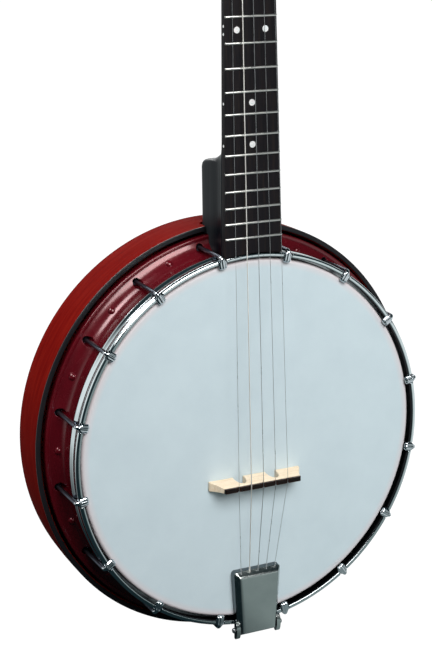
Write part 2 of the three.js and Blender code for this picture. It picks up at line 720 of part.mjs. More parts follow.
function makeNeck() {
  const cornerStart = HEEL_TOP_STATION - HEEL_CORNER_LENGTH;
  const filletEnd = HEEL_TOP_STATION + HEEL_FILLET_LENGTH;
  const heelStations = [-12, 0, 25, ...[0, 0.45, 0.75, 0.93].map((t) => cornerStart + t * HEEL_CORNER_LENGTH)];
  const turnStations = [0.01, 0.08, 0.25, 0.5].map((t) => HEEL_TOP_STATION + t * HEEL_FILLET_LENGTH);
  const shaftStations = [filletEnd, 90, 120, ...SLIM_SHAFT_STATIONS, STEP_STATIONS[0]];
  const stepStations = [0.25, 0.5, 0.75, 1].map((t) => lerp(...STEP_STATIONS, t));
  const topStations = [NUT_STATION, pegheadStart, pegheadStart + 0.5, pegheadStart + 14];
  const stations = [...heelStations, ...turnStations, ...shaftStations, ...stepStations, ...topStations];
  const shaft = loft(stations.map(neckRing));
  const peghead = inPeghead(plate(pegheadOutline(), [0, PEGHEAD_THICKNESS], 6));
  const channel = box(
    [PEGHEAD_CENTRE_X - TRUSS_CHANNEL.width / 2, PEGHEAD_CENTRE_X + TRUSS_CHANNEL.width / 2],
    [BOARD_THICKNESS - 1, BOARD_THICKNESS + TRUSS_CHANNEL.depth],
    [TRUSS_CHANNEL.start, pegheadStart + 8],
  );
  const pocket = inPeghead(box(
    [-TRUSS_POCKET.width / 2, TRUSS_POCKET.width / 2],
    [-3, TRUSS_POCKET.depth],
    [2, TRUSS_POCKET.length],
  ));
  const postHoles = tunerPlaces.map((place) => inPeghead(bar(
    point(postX(place), -2, postStation(place)),
    point(postX(place), PEGHEAD_THICKNESS + 2, postStation(place)),
    POST_HOLE_RADIUS,
  )));
  const rodHole = inNeckFrame(bar(
    point(0, atDepth(ROD_DEPTH), POT_INNER_RADIUS),
    point(0, atDepth(ROD_DEPTH), ROD_HEEL_END + 2),
    ROD_HOLE_RADIUS,
  ));
  const pegHole = bar(
    point(PEG_SIDE_X - 5, PEG_HEIGHT, PEG_STATION), point(PEG_SIDE_X + 11, PEG_HEIGHT, PEG_STATION), 4.3,
  );
  return cut(join([shaft, peghead]), [channel, pocket, ...postHoles, rodHole, pegHole, potClearance()]);
}

function makeNut() {
  const body = box(
    [bassEdge(NUT_STATION) + 0.1, trebleEdge(NUT_STATION) - 0.1],
    [-2.6, BOARD_THICKNESS - GLUE_GAP],
    [NUT_STATION + GLUE_GAP, pegheadStart],
  );
  const slots = NUT_STRING_X.map((x) => bar(
    point(x, -NUT_STRING_HEIGHT, NUT_STATION - 2),
    point(x, -NUT_STRING_HEIGHT, pegheadStart + 2),
    SLOT_RADIUS,
    SLOT_RADIUS,
    6,
  ));
  const mouths = NUT_STRING_X.map((x) => box(
    [x - SLOT_RADIUS * 0.86, x + SLOT_RADIUS * 0.86],
    [-4, -NUT_STRING_HEIGHT],
    [NUT_STATION - 2, pegheadStart + 2],
  ));
  return cut(body, [...slots, ...mouths]);
}

function makeFifthStringNut() {
  const station = fretStation(FIFTH_PEG_FRET) + 4;
  return bar(point(FIFTH_STRING_X, -0.1, station), point(FIFTH_STRING_X, -1.2, station), 1.5, 1.5, 10);
}

function makeTrussRod() {
  const half = TRUSS_CHANNEL.width / 2 - FIT_GAP;
  const middle = BOARD_THICKNESS + TRUSS_CHANNEL.depth / 2;
  const end = pegheadStart + 6;
  const rod = box(
    [PEGHEAD_CENTRE_X - half, PEGHEAD_CENTRE_X + half],
    [BOARD_THICKNESS + FIT_GAP, BOARD_THICKNESS + TRUSS_CHANNEL.depth - FIT_GAP],
    [TRUSS_CHANNEL.start + 1, NUT_STATION - 6],
  );
  const screw = bar(
    point(PEGHEAD_CENTRE_X, middle, NUT_STATION - 7), point(PEGHEAD_CENTRE_X, middle, end), 2.3, 2.3, 10,
  );
  return join([rod, screw]);
}

function makeTrussCover() {
  const outline = new THREE.Shape();
  outline.moveTo(8.5, 1);
  outline.bezierCurveTo(9, 12, 6.5, 22, 0, 32);
  outline.bezierCurveTo(-6.5, 22, -9, 12, -8.5, 1);
  outline.lineTo(8.5, 1);
  return plate(outline, [-1.8, -GLUE_GAP], 6);
}

// --------------------------------------------------------------------- tuners

// A tuner is built at its post: the origin is on the peghead's back face, +Y
// points away from it, and the button stands out along +X.
const WORM_OFFSET = 6.3;
const GEAR_HEIGHT = 4.4;
const GEAR_RADIUS = 3.9;
const WORM_RADIUS = 1.9;
const HOUSING = { x: [-8, 9], y: [FIT_GAP, 8.6], z: [-5.8, 9.8] };
const BUTTON_START = 19;

function makeTunerHousing() {
  const wall = 1.3;
  const shrink = ([low, high]) => [low + wall, high - wall];
  const shell = box(HOUSING.x, HOUSING.y, HOUSING.z);
  const cavity = box(shrink(HOUSING.x), shrink(HOUSING.y), shrink(HOUSING.z));
  const front = -PEGHEAD_THICKNESS;
  const sleeve = bar(point(0, front - 1, 0), point(0, HOUSING.y[0] + 0.5, 0), POST_HOLE_RADIUS - 0.4);
  const collar = bar(point(0, front - 2.6, 0), point(0, front - 0.2, 0), 6, 6.4, 6);
  const postBore = bar(point(0, front - 5, 0), point(0, GEAR_HEIGHT, 0), POST_RADIUS + FIT_GAP);
  const shaftBore = bar(
    point(0, GEAR_HEIGHT, WORM_OFFSET), point(HOUSING.x[1] + 1, GEAR_HEIGHT, WORM_OFFSET), WORM_RADIUS + 0.4,
  );
  return cut(join([shell, sleeve, collar]), [cavity, postBore, shaftBore]);
}

function makeTunerShaft() {
  const at = (x) => point(x, GEAR_HEIGHT, WORM_OFFSET);
  const shaft = bar(at(-5.8), at(BUTTON_START + 2), WORM_RADIUS, WORM_RADIUS, 12);
  const ferrule = bar(at(BUTTON_START - 3.5), at(BUTTON_START), 3.4, 4.4, 12);
  return join([shaft, ferrule, makeButton(BUTTON_START - 0.5, WORM_OFFSET, GEAR_HEIGHT)]);
}

// An oval button whose inner end is at x.
function makeButton(x, z, y) {
  const button = new THREE.SphereGeometry(1, 10, 6);
  button.scale(8.4, 3.8, 6.6);
  button.translate(x + 8, y, z);
  return solid(button);
}

function makeTunerPost() {
  const front = -PEGHEAD_THICKNESS;
  const gear = bar(point(0, GEAR_HEIGHT - 1.5, 0), point(0, GEAR_HEIGHT + 1.5, 0), GEAR_RADIUS, GEAR_RADIUS, 14);
  const post = bar(point(0, GEAR_HEIGHT, 0), point(0, front - 6, 0), POST_RADIUS, POST_RADIUS, 12);
  const waist = bar(point(0, front - 5.9, 0), point(0, front - 13, 0), POST_RADIUS - 0.6, POST_RADIUS - 0.6, 12);
  const top = bar(point(0, front - 12.9, 0), point(0, front - 19, 0), POST_RADIUS, POST_RADIUS - 0.5, 12);
  return join([gear, post, waist, top]);
}

function addTuner(place) {
  const group = new THREE.Group();
  group.position.set(postX(place), PEGHEAD_THICKNESS, postStation(place));
  if (place.side < 0) group.rotation.y = Math.PI;
  pegheadGroup.add(group);
  addPiece(`tuner_housing_${place.name}`, makeTunerHousing(), PAINTS.chrome, group);
  addPiece(`tuner_button_${place.name}`, makeTunerShaft(), PAINTS.chrome, group);
  addPiece(`tuner_post_${place.name}`, makeTunerPost(), PAINTS.chrome, group);
}

// --------------------------------------------------------------- fifth string

function makeFifthPegBase() {
  const at = (x) => point(PEG_SIDE_X + x, PEG_HEIGHT, PEG_STATION);
  const plug = bar(at(10.5), at(-0.6), 4, 4, 14);
  const shoulder = bar(at(-0.5), at(-2), 5.4, 4.6, 14);
  return cut(join([plug, shoulder]), [bar(at(9), at(-4), 2.15)]);
}

function makeFifthPeg() {
  const at = (x) => point(PEG_SIDE_X + x, PEG_HEIGHT, PEG_STATION);
  const stub = bar(at(8.5), at(-4), 1.8, 1.8, 12);
  const post = bar(at(-2.4), at(-9), 2.6, 2.6, 12);
  const drum = bar(at(-8.9), at(-16.5), 6, 5.4, 18);
  const stem = bar(at(-16), at(-20), 2.6, 2.6, 12);
  const button = new THREE.SphereGeometry(1, 10, 6);
  button.scale(8, 3.8, 6.4);
  button.translate(PEG_SIDE_X - 26.4, PEG_HEIGHT, PEG_STATION);
  return join([stub, post, drum, stem, solid(button)]);
}

// --------------------------------------------------------------------- bridge

const bridgeStringX = (i) => BRIDGE_CENTRE_X + (i - 2) * BRIDGE_SPACING;

// Three long feet with two narrow horseshoe openings; the body thins towards the cap.
function makeBridgeBody() {
  const outline = new THREE.Shape();
  const spread = BRIDGE_FOOT_HALF;
  const topSpread = BRIDGE_TOP_HALF;
  const inner = BRIDGE_MIDDLE_FOOT_HALF;
  const outer = inner + BRIDGE_GAP;
  const bulge = 1.4;
  const pull = (BRIDGE_ARCH_HEIGHT * 4) / 3;
  outline.moveTo(-spread, 0);
  outline.lineTo(-outer, 0);
  outline.bezierCurveTo(-outer - bulge, pull, -inner + bulge, pull, -inner, 0);
  outline.lineTo(inner, 0);
  outline.bezierCurveTo(inner - bulge, pull, outer + bulge, pull, outer, 0);
  outline.lineTo(spread, 0);
  outline.lineTo(spread, 2.2);
  outline.quadraticCurveTo(spread - 4, 7, topSpread, -BRIDGE_BODY_TOP);
  outline.lineTo(-topSpread, -BRIDGE_BODY_TOP);
  outline.quadraticCurveTo(-spread + 4, 7, -spread, 2.2);
  const geometry = new THREE.ExtrudeGeometry(outline, {
    depth: BRIDGE_FOOT_THICKNESS, bevelEnabled: false, curveSegments: 8,
  });
  // The outline's second axis becomes height above the head, which is -Y.
  geometry.rotateX(Math.PI);
  geometry.translate(BRIDGE_CENTRE_X, atDepth(-0.1), BRIDGE_Z + BRIDGE_FOOT_THICKNESS / 2);
  const taper = (BRIDGE_FOOT_THICKNESS - BRIDGE_TOP_THICKNESS) / 2;
  const wedge = new THREE.Shape();
  wedge.moveTo(0, 1);
  wedge.lineTo(taper, BRIDGE_BODY_TOP - 1);
  wedge.lineTo(-4, BRIDGE_BODY_TOP - 1);
  wedge.lineTo(-4, 1);
  const wedges = [1, -1].map((side) => {
    const cutter = new THREE.ExtrudeGeometry(wedge, { depth: 100, bevelEnabled: false });
    cutter.rotateY(Math.PI / 2);
    cutter.scale(1, 1, side);
    cutter.translate(-50, atDepth(0), BRIDGE_Z + (side * BRIDGE_FOOT_THICKNESS) / 2);
    return solid(cutter);
  });
  return cut(solid(geometry), wedges);
}

function makeBridgeCap() {
  const half = BRIDGE_TOP_THICKNESS / 2;
  const cap = box(
    [BRIDGE_CENTRE_X - BRIDGE_TOP_HALF, BRIDGE_CENTRE_X + BRIDGE_TOP_HALF],
    [atDepth(BRIDGE_CAP_TOP), atDepth(BRIDGE_BODY_TOP) - 0.15],
    [BRIDGE_Z - half, BRIDGE_Z + half],
  );
  const slots = Array.from({ length: STRING_COUNT }, (_, i) => box(
    [bridgeStringX(i) - BRIDGE_SLOT_HALF, bridgeStringX(i) + BRIDGE_SLOT_HALF],
    [atDepth(BRIDGE_CAP_TOP - 2), atDepth(BRIDGE_STRING_DEPTH + BRIDGE_SLOT_DEPTH)],
    [BRIDGE_Z - 4, BRIDGE_Z + 4],
  ));
  return cut(cap, slots);
}

// ------------------------------------------------------------------ tailpiece

const tailX = (offset) => TAIL_CENTRE_X + offset;
const coverHalf = (z) => lerp(
  COVER_TOP_HALF, COVER_BOTTOM_HALF, (COVER_TOP_Z - z) / (COVER_TOP_Z - COVER_BOTTOM_Z),
);

function trapezoid(zs, inset) {
  const outline = new THREE.Shape();
  outline.moveTo(tailX(-coverHalf(zs[0]) + inset), zs[0]);
  outline.lineTo(tailX(coverHalf(zs[0]) - inset), zs[0]);
  outline.lineTo(tailX(coverHalf(zs[1]) - inset), zs[1]);
  outline.lineTo(tailX(-coverHalf(zs[1]) + inset), zs[1]);
  return outline;
}

// The cover: a tapered box of sheet metal, open towards the head, with an ear each side for the pin.
function makeTailCover() {
  const block = plate(
    trapezoid([COVER_TOP_Z, COVER_BOTTOM_Z], 0),
    [atDepth(COVER_FACE_DEPTH), atDepth(COVER_SKIRT_DEPTH)],
  );
  const hollow = plate(
    trapezoid([COVER_TOP_Z + 1, COVER_BOTTOM_Z - 1], SHEET),
    [atDepth(COVER_FACE_DEPTH + SHEET), atDepth(COVER_SKIRT_DEPTH + 2)],
  );
  const lip = plate(
    trapezoid([COVER_TOP_Z, COVER_TOP_Z - SHEET], 0.3),
    [atDepth(COVER_FACE_DEPTH + 0.2), atDepth(-7.6)],
  );
  const overHoop = box(
    [tailX(-25), tailX(25)],
    [atDepth(HOOP_TOP_DEPTH - 0.5), atDepth(0)],
    [COVER_BOTTOM_Z - 1, -136],
  );
  const bore = bar(
    point(tailX(-25), atDepth(PIN_DEPTH), PIN_Z), point(tailX(25), atDepth(PIN_DEPTH), PIN_Z), PIN_BORE_RADIUS,
  );
  const shell = join([cut(block, [hollow]), lip]);
  return cut(shell, [overHoop, bore]);
}

function makeTailPin() {
  const reach = coverHalf(PIN_Z) + 1.2;
  const at = (x) => point(tailX(x), atDepth(PIN_DEPTH), PIN_Z);
  const heads = [-1, 1].map((side) => bar(at(side * (reach - 0.9)), at(side * (reach + 0.9)), 2, 1.4, 12));
  return join([bar(at(-reach), at(reach), PIN_RADIUS, PIN_RADIUS, 12), ...heads]);
}

// The base: a plate under the cover with five string studs, a pin knuckle and
// a leg that passes outside the hoop down to the rod's nut.
function makeTailBase() {
  const inset = SHEET + 0.5;
  const plateEnd = PIN_Z - 0.5;
  const floor = plate(
    trapezoid([COVER_TOP_Z - 2, plateEnd], inset),
    [atDepth(BASE_DEPTHS[0]), atDepth(BASE_DEPTHS[1])],
  );
  const knuckleHalf = coverHalf(PIN_Z) - SHEET - 0.5;
  const knuckle = bar(
    point(tailX(-knuckleHalf), atDepth(PIN_DEPTH), PIN_Z),
    point(tailX(knuckleHalf), atDepth(PIN_DEPTH), PIN_Z),
    KNUCKLE_RADIUS,
  );
  const leg = box([-8, 8], [atDepth(PIN_DEPTH + 1.4), atDepth(ROD_DEPTH + 7)], LEG_Z);
  const studs = Array.from({ length: STRING_COUNT }, (_, i) => bar(
    point(tailX((i - 2) * TAIL_STRING_SPACING), atDepth(BASE_DEPTHS[0] + 0.3), TAIL_STRING_Z - 2.2),
    point(tailX((i - 2) * TAIL_STRING_SPACING), atDepth(COVER_FACE_DEPTH + SHEET + 0.4), TAIL_STRING_Z - 2.2),
    1.1,
    1.1,
    8,
  ));
  const pinBore = bar(
    point(tailX(-25), atDepth(PIN_DEPTH), PIN_Z), point(tailX(25), atDepth(PIN_DEPTH), PIN_Z), PIN_BORE_RADIUS,
  );
  const rodHole = bar(
    point(0, atDepth(ROD_DEPTH), LEG_Z[0] - 1), point(0, atDepth(ROD_DEPTH), LEG_Z[1] + 1), ROD_HOLE_RADIUS,
  );
  return cut(join([floor, knuckle, leg, ...studs]), [pinBore, rodHole]);
}

// -------------------------------------------------------------------- strings

function tailEnd(i) {
  return point(tailX((i - 2) * TAIL_STRING_SPACING), atDepth(TAIL_STRING_DEPTH), TAIL_STRING_Z);
}

function overBridge(i) {
  return point(bridgeStringX(i), atDepth(BRIDGE_STRING_DEPTH), BRIDGE_Z);
}

// The four long strings: tailpiece, bridge, nut, then the inner side of the post.
function makeLongString(place) {
  const x = NUT_STRING_X[place.string - 1];
  const inward = -place.side * (POST_RADIUS + STRING_RADIUS + 0.2);
  return wire([
    tailEnd(place.string),
    overBridge(place.string),
    toBanjo(x, -NUT_STRING_HEIGHT, NUT_STATION + 0.2),
    toBanjo(x, -NUT_STRING_HEIGHT + 0.2, pegheadStart + 0.4),
    pegheadToBanjo(postX(place) + inward, -9.5, postStation(place)),
  ], STRING_RADIUS, 5);
}

// The short drone string: tailpiece, bridge, its own small nut, then the side peg.
function makeFifthString() {
  const station = fretStation(FIFTH_PEG_FRET) + 4;
  return wire([
    tailEnd(0),
    overBridge(0),
    toBanjo(FIFTH_STRING_X, -NUT_STRING_HEIGHT, station),
    toBanjo(PEG_SIDE_X - 1.2, -0.7, station + 5),
    toBanjo(PEG_SIDE_X - 5.5, PEG_HEIGHT - 3.2, PEG_STATION),
  ], STRING_RADIUS, 5);
}

// ------------------------------------------------------------------- assembly

addPiece('pot', makePot(), PAINTS.castRed);
addPiece('drum_head', makeHead(), PAINTS.head);
addPiece('flesh_hoop', makeFleshHoop(), PAINTS.steel);
addPiece('tension_hoop', makeTensionHoop(), PAINTS.chrome);
hookAngles.forEach((angle, k) => {
  addPiece(`bracket_hook_${String(k + 1).padStart(2, '0')}`, makeHook(angle), PAINTS.chrome);
});

addPiece('resonator', makeResonator(), PAINTS.resonatorRed);
addPiece('resonator_binding', makeBinding(), PAINTS.binding);
LUG_ANGLES.forEach((angle, k) => addPiece(`resonator_screw_${k + 1}`, makeResonatorScrew(angle), PAINTS.chrome));

addPiece('coordinator_rod', makeCoordinatorRod(), PAINTS.steel);
addPiece('tail_nut', makeTailNut(), PAINTS.steel);

addPiece('neck', makeNeck(), PAINTS.neckBlack, neckGroup);
addPiece('fingerboard', makeFingerboard(), PAINTS.board, neckGroup);
addPiece('string_nut', makeNut(), PAINTS.bone, neckGroup);
addPiece('fifth_string_nut', makeFifthStringNut(), PAINTS.bone, neckGroup);
addPiece('truss_rod', makeTrussRod(), PAINTS.steel, neckGroup);
addPiece('truss_rod_cover', makeTrussCover(), PAINTS.plastic, pegheadGroup);
tunerPlaces.forEach(addTuner);
addPiece('fifth_peg_base', makeFifthPegBase(), PAINTS.chrome, neckGroup);
addPiece('fifth_peg', makeFifthPeg(), PAINTS.pearl, neckGroup);

addPiece('bridge', makeBridgeBody(), PAINTS.maple);
addPiece('bridge_cap', makeBridgeCap(), PAINTS.ebony);
addPiece('tailpiece_base', makeTailBase(), PAINTS.chrome);
addPiece('tailpiece_cover', makeTailCover(), PAINTS.chrome);
addPiece('tailpiece_pin', makeTailPin(), PAINTS.steel);

addPiece('string_5', makeFifthString(), PAINTS.steel);
tunerPlaces.forEach((place) => {
  addPiece(`string_${STRING_COUNT - place.string}`, makeLongString(place), PAINTS.steel);
});

export default banjo;
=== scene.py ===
"""A five-string resonator banjo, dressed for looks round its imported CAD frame.

Lengths are in millimetres in the banjo's own terms: x across, depth behind the
head's front face, and z up the neck. Matrices turn them into the frame's metres.
"""

import math

import bmesh
import bpy
from mathutils import Matrix, Vector


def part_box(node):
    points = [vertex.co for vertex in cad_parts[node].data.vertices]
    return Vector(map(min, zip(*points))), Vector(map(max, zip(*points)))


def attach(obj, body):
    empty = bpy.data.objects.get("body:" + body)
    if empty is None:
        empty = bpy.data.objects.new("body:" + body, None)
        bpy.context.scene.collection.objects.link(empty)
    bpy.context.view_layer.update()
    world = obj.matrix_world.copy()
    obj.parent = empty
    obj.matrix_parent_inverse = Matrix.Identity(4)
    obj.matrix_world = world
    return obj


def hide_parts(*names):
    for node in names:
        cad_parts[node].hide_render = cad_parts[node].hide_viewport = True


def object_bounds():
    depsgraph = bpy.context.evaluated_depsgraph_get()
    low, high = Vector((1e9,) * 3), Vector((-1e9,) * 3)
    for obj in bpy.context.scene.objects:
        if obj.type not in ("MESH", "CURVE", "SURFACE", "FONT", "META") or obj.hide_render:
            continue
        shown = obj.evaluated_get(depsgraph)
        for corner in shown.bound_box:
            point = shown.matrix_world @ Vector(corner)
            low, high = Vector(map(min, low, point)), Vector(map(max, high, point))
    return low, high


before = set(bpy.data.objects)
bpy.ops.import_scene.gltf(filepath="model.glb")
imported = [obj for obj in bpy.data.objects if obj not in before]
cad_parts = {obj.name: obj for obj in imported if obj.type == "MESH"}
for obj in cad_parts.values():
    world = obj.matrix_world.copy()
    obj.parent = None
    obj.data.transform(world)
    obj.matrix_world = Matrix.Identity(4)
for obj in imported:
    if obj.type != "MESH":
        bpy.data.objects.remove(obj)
cad_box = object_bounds()

# ---------------------------------------------------------------- dimensions

MM = 0.001
TINY = 1e-6
SCALE_LENGTH = 666.75
FRET_COUNT = 22
STRING_COUNT = 5
HOOK_COUNT = 16
ROUND_STEPS = 288

HEAD_RADIUS = 139.2
POT_INNER = 131.5
POT_WALL = 141.5
COVE_RADIUS = 14
COVE_START = 24
COVE_END = 150.6
FLANGE_FRONT = 36.6
FLANGE_BACK = 43
FLANGE_RADIUS = 153.6
POT_BACK = 62
BUTTON_RADIUS = 2.75
BUTTON_HEIGHT = 1.9
BUTTON_TURN = 0.72
BUTTON_LEAN = (0.75, -0.66)  # out and forward, square to the cove

HOOP_INNER = 141.2
HOOP_OUTER = 144.8
HOOP_TOP = -3.5
HOOP_BOTTOM = 11.3
HOOK_CIRCLE = 146.5
HOOK_DRIFT = 0.5
HOOK_ROD = 1.6
THREAD_START = 46
NOTCH_WIDTH = 7.2

RESONATOR_RADIUS = 160
RIM_DEPTH = 39.5
BINDING_HEIGHT = 1.5
RESONATOR_BACK = 90
FLAT_RADIUS = 60
NOTCH_HALF = 19.5
NOTCH_DEPTH = 55
LUG_CIRCLE = 147
LUG_ANGLES = (45, 135, 225, 315)
SCREW_TOP = 85.8

ROD_DEPTH = 21
ROD_RADIUS = 4
ROD_HOLE = 4.5

SCALE_END_Z = -29.8
BRIDGE_Z = -31.6
BRIDGE_X = 1.1
BRIDGE_SPACING = 10.36
STRING_DEPTH = -16.9

NECK_TILT = math.radians(2.31)
BOARD_END_Z = 148
BOARD_END_DEPTH = -4.12
BOARD_THICKNESS = 5.5
NUT_STATION = SCALE_LENGTH + SCALE_END_Z - BOARD_END_Z
PEGHEAD_START = NUT_STATION + 5
NUT_STRING_X = (-7, 0.8, 8.6, 16.4)
NUT_STRING_HEIGHT = 1.8
FIFTH_STRING_X = -14.9
DOT_FRETS = (3, 5, 7, 10, 12, 15, 17)
HEEL_TOP = 65
HEEL_BACK = 55
HEEL_CORNER = (8, 13)
HEEL_FILLET = 15
HEEL_HALF = 18.5

PEGHEAD_TILT = math.radians(13)
PEGHEAD_X = 4.3
PEGHEAD_THICKNESS = 14.5

PEG_STATION = 337
PEG_HEIGHT = 9.9
PEG_SIDE = -18.1

PIN_Z = -147.5
PIN_DEPTH = -5.5
PIN_HOLE = 1.3
TAIL_X = 1.2
COVER_TOP_Z = -101.3
COVER_END_Z = -152.3
COVER_TOP_HALF = 20.1
COVER_END_HALF = 16.7
TAIL_STRING_Z = -106
TAIL_STRING_DEPTH = -6.3
TAIL_SPACING = 7
STUD_DROP = 2.2

# Frames: each turns local millimetres into metres.
HEAD_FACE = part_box("drum_head")[0].y
BANJO = Matrix.Translation((0, HEAD_FACE, 0)) @ Matrix.Scale(MM, 4)
NECK = BANJO @ Matrix.Translation((0, BOARD_END_DEPTH, BOARD_END_Z)) @ Matrix.Rotation(-NECK_TILT, 4, "X")
PEGHEAD = (
    NECK
    @ Matrix.Translation((PEGHEAD_X, BOARD_THICKNESS, PEGHEAD_START))
    @ Matrix.Rotation(-PEGHEAD_TILT, 4, "X")
)
# Stands local +Y up the coordinator rod, still in millimetres.
ROD_LINE = Matrix.Translation((0, ROD_DEPTH, 0)) @ Matrix.Rotation(math.pi / 2, 4, "X")

# ------------------------------------------------------------- small helpers


def lerp(a, b, t):
    return a + (b - a) * t


def smoothstep(value, low, high):
    t = min(1, max(0, (value - low) / (high - low)))
    return t * t * (3 - 2 * t)


def spread(low, high, count):
    return [lerp(low, high, k / (count - 1)) for k in range(count)]


def bezier(a, b, c, d, count=12):
    """Points on a cubic curve, both ends included."""
    points = []
    for t in spread(0, 1, count):
        u = 1 - t
        weights = (u ** 3, 3 * u * u * t, 3 * u * t * t, t ** 3)
        points.append(tuple(sum(w * p[i] for w, p in zip(weights, (a, b, c, d))) for i in range(2)))
    return points


def rounded(corners, closed=True, steps=5):
    """A 2-D outline from (x, y, radius) corners, each rounded by its radius."""
    outline = []
    for i, (x, y, radius) in enumerate(corners):
        corner = Vector((x, y))
        at_end = not closed and i in (0, len(corners) - 1)
        if radius == 0 or at_end:
            outline.append((x, y))
            continue
        before = (Vector(corners[i - 1][:2]) - corner).normalized()
        after = (Vector(corners[(i + 1) % len(corners)][:2]) - corner).normalized()
        half_angle = before.angle(after) / 2
        reach = radius / math.tan(half_angle)
        centre = corner + (before + after).normalized() * (radius / math.sin(half_angle))
        first = corner + before * reach - centre
        turn = first.angle_signed(corner + after * reach - centre)
        for k in range(steps + 1):
            arm = first.copy()
            arm.rotate(Matrix.Rotation(-turn * k / steps, 2))
            outline.append(tuple(centre + arm))
    return outline


def bent(corners, steps=5):
    """An open outline from (x, y, radius) corners: all but its ends are rounded."""
    return rounded(corners, closed=False, steps=steps)


def pin_profile(radius, low, high):
    """The profile of a plain cylinder."""
    return [(0, low), (radius, low), (radius, high), (0, high)]


class Part:
    """Vertices and faces in local millimetres, gathered before they become a mesh."""

    def __init__(self):
        self.verts = []
        self.faces = []

    def add(self, verts, faces, matrix=None):
        start = len(self.verts)
        self.verts += [matrix @ Vector(v) if matrix else Vector(v) for v in verts]
        self.faces += [tuple(start + i for i in face) for face in faces]
        return self

    def rings(self, rings, caps=True, closed=False, matrix=None):
        """Skins rings of equal length; closed joins the last ring to the first."""
        size = len(rings[0])
        verts = [p for ring in rings for p in ring]
        faces = []
        spans = len(rings) if closed else len(rings) - 1
        for r in range(spans):
            here = r * size
            there = ((r + 1) % len(rings)) * size
            for k in range(size):
                n = (k + 1) % size
                faces.append((here + k, here + n, there + n, there + k))
        if caps and not closed:
            faces.append(tuple(reversed(range(size))))
            faces.append(tuple(range((len(rings) - 1) * size, len(rings) * size)))
        return self.add(verts, faces, matrix)

    def turned(self, profile, steps=ROUND_STEPS, matrix=None):
        """Turns a profile of (radius, height) about the Y axis. Ends on the axis close themselves."""
        on_axis = profile[0][0] < TINY and profile[-1][0] < TINY
        inner = profile[1:-1] if on_axis else profile
        rings = []
        for radius, height in inner:
            angles = [2 * math.pi * k / steps for k in range(steps)]
            rings.append([(radius * math.sin(a), height, radius * math.cos(a)) for a in angles])
        if not on_axis:
            return self.rings(rings, closed=True, matrix=matrix)
        self.rings(rings, caps=False, matrix=matrix)
        last = len(self.verts) - steps
        first = len(self.verts) - steps * len(rings)
        for height, ring_start in ((profile[0][1], first), (profile[-1][1], last)):
            hub = len(self.verts)
            centre = Vector((0, height, 0))
            self.verts.append(matrix @ centre if matrix else centre)
            for k in range(steps):
                self.faces.append((ring_start + k, ring_start + (k + 1) % steps, hub))
        return self

    def tube(self, path, section, sides=16, up=(1, 0, 0), matrix=None):
        """Sweeps section(i, angle) -> (across, along_up) along a path of points."""
        points = [Vector(p) for p in path]
        rings = []
        side = Vector(up)
        for i, centre in enumerate(points):
            ahead = points[min(i + 1, len(points) - 1)] - points[max(i - 1, 0)]
            ahead.normalize()
            side = (side - ahead * side.dot(ahead)).normalized()
            over = ahead.cross(side)
            ring = []
            for k in range(sides):
                a, b = section(i, 2 * math.pi * k / sides)
                ring.append(centre + side * a + over * b)
            rings.append(ring)
        return self.rings(rings, matrix=matrix)

    def box(self, xs, ys, zs, matrix=None):
        verts = [(x, y, z) for x in xs for y in ys for z in zs]
        faces = [(0, 1, 3, 2), (4, 6, 7, 5), (0, 4, 5, 1), (2, 3, 7, 6), (0, 2, 6, 4), (1, 5, 7, 3)]
        return self.add(verts, faces, matrix)

    def plate(self, outline, ends, along="y", matrix=None):
        """A flat outline, given in the other two axes' order, thickened along one axis."""
        slot = "xyz".index(along)
        rings = [[(*point[:slot], end, *point[slot:]) for point in outline] for end in ends]
        return self.rings(rings, matrix=matrix)

    def cylinder(self, radius, start, end, steps=32, matrix=Matrix()):
        """A plain cylinder from one point to another."""
        length = (Vector(end) - Vector(start)).length
        return self.turned(pin_profile(radius, 0, length), steps, matrix @ turn_to(start, end))

    def mesh(self, matrix=BANJO):
        data = bpy.data.meshes.new("mesh")
        data.from_pydata([matrix @ v for v in self.verts], [], self.faces)
        tidy = bmesh.new()
        tidy.from_mesh(data)
        bmesh.ops.remove_doubles(tidy, verts=tidy.verts, dist=TINY)
        bmesh.ops.recalc_face_normals(tidy, faces=tidy.faces)
        tidy.to_mesh(data)
        tidy.free()
        return data


def round_section(radius):
    return lambda i, angle: (radius * math.cos(angle), radius * math.sin(angle))


def turn_to(start, end):
    """A matrix that stands local +Y on the line from start to end."""
    along = (Vector(end) - Vector(start)).normalized()
    return Matrix.Translation(start) @ along.to_track_quat("Y", "Z").to_matrix().to_4x4()


def about_pot(degrees):
    """Turns a thing built at the neck side of the pot to another place on its circle."""
    return Matrix.Rotation(math.radians(degrees), 4, "Y")


def drifted(degrees):
    """The hooks and the buttons between them stand up to a degree round from even places."""
    return degrees + HOOK_DRIFT * (1 - math.sin(math.radians(degrees)))


HOOK_ANGLES = [drifted((k + 0.5) * 360 / HOOK_COUNT) for k in range(HOOK_COUNT)]


def on_circle(radius, degrees, depth):
    angle = math.radians(degrees)
    return Vector((radius * math.sin(angle), depth, radius * math.cos(angle)))


def at_circle(radius, degrees):
    """Moves a thing turned about the pot's axis to a place on a circle round that axis."""
    return Matrix.Translation(on_circle(radius, degrees, 0))


def new_object(name, data):
    """An object that is in the scene."""
    made = bpy.data.objects.new(name, data)
    bpy.context.scene.collection.objects.link(made)
    return made


def boolean(mesh, other, operation="DIFFERENCE"):
    """The mesh after one boolean with another mesh."""
    base = new_object("boolean_base", mesh)
    cutter = new_object("boolean_cutter", other)
    modifier = base.modifiers.new("boolean", "BOOLEAN")
    modifier.operation = operation
    modifier.solver = "EXACT"
    modifier.object = cutter
    depsgraph = bpy.context.evaluated_depsgraph_get()
    result = bpy.data.meshes.new_from_object(base.evaluated_get(depsgraph))
    bpy.data.objects.remove(base)
    bpy.data.objects.remove(cutter)
    return result


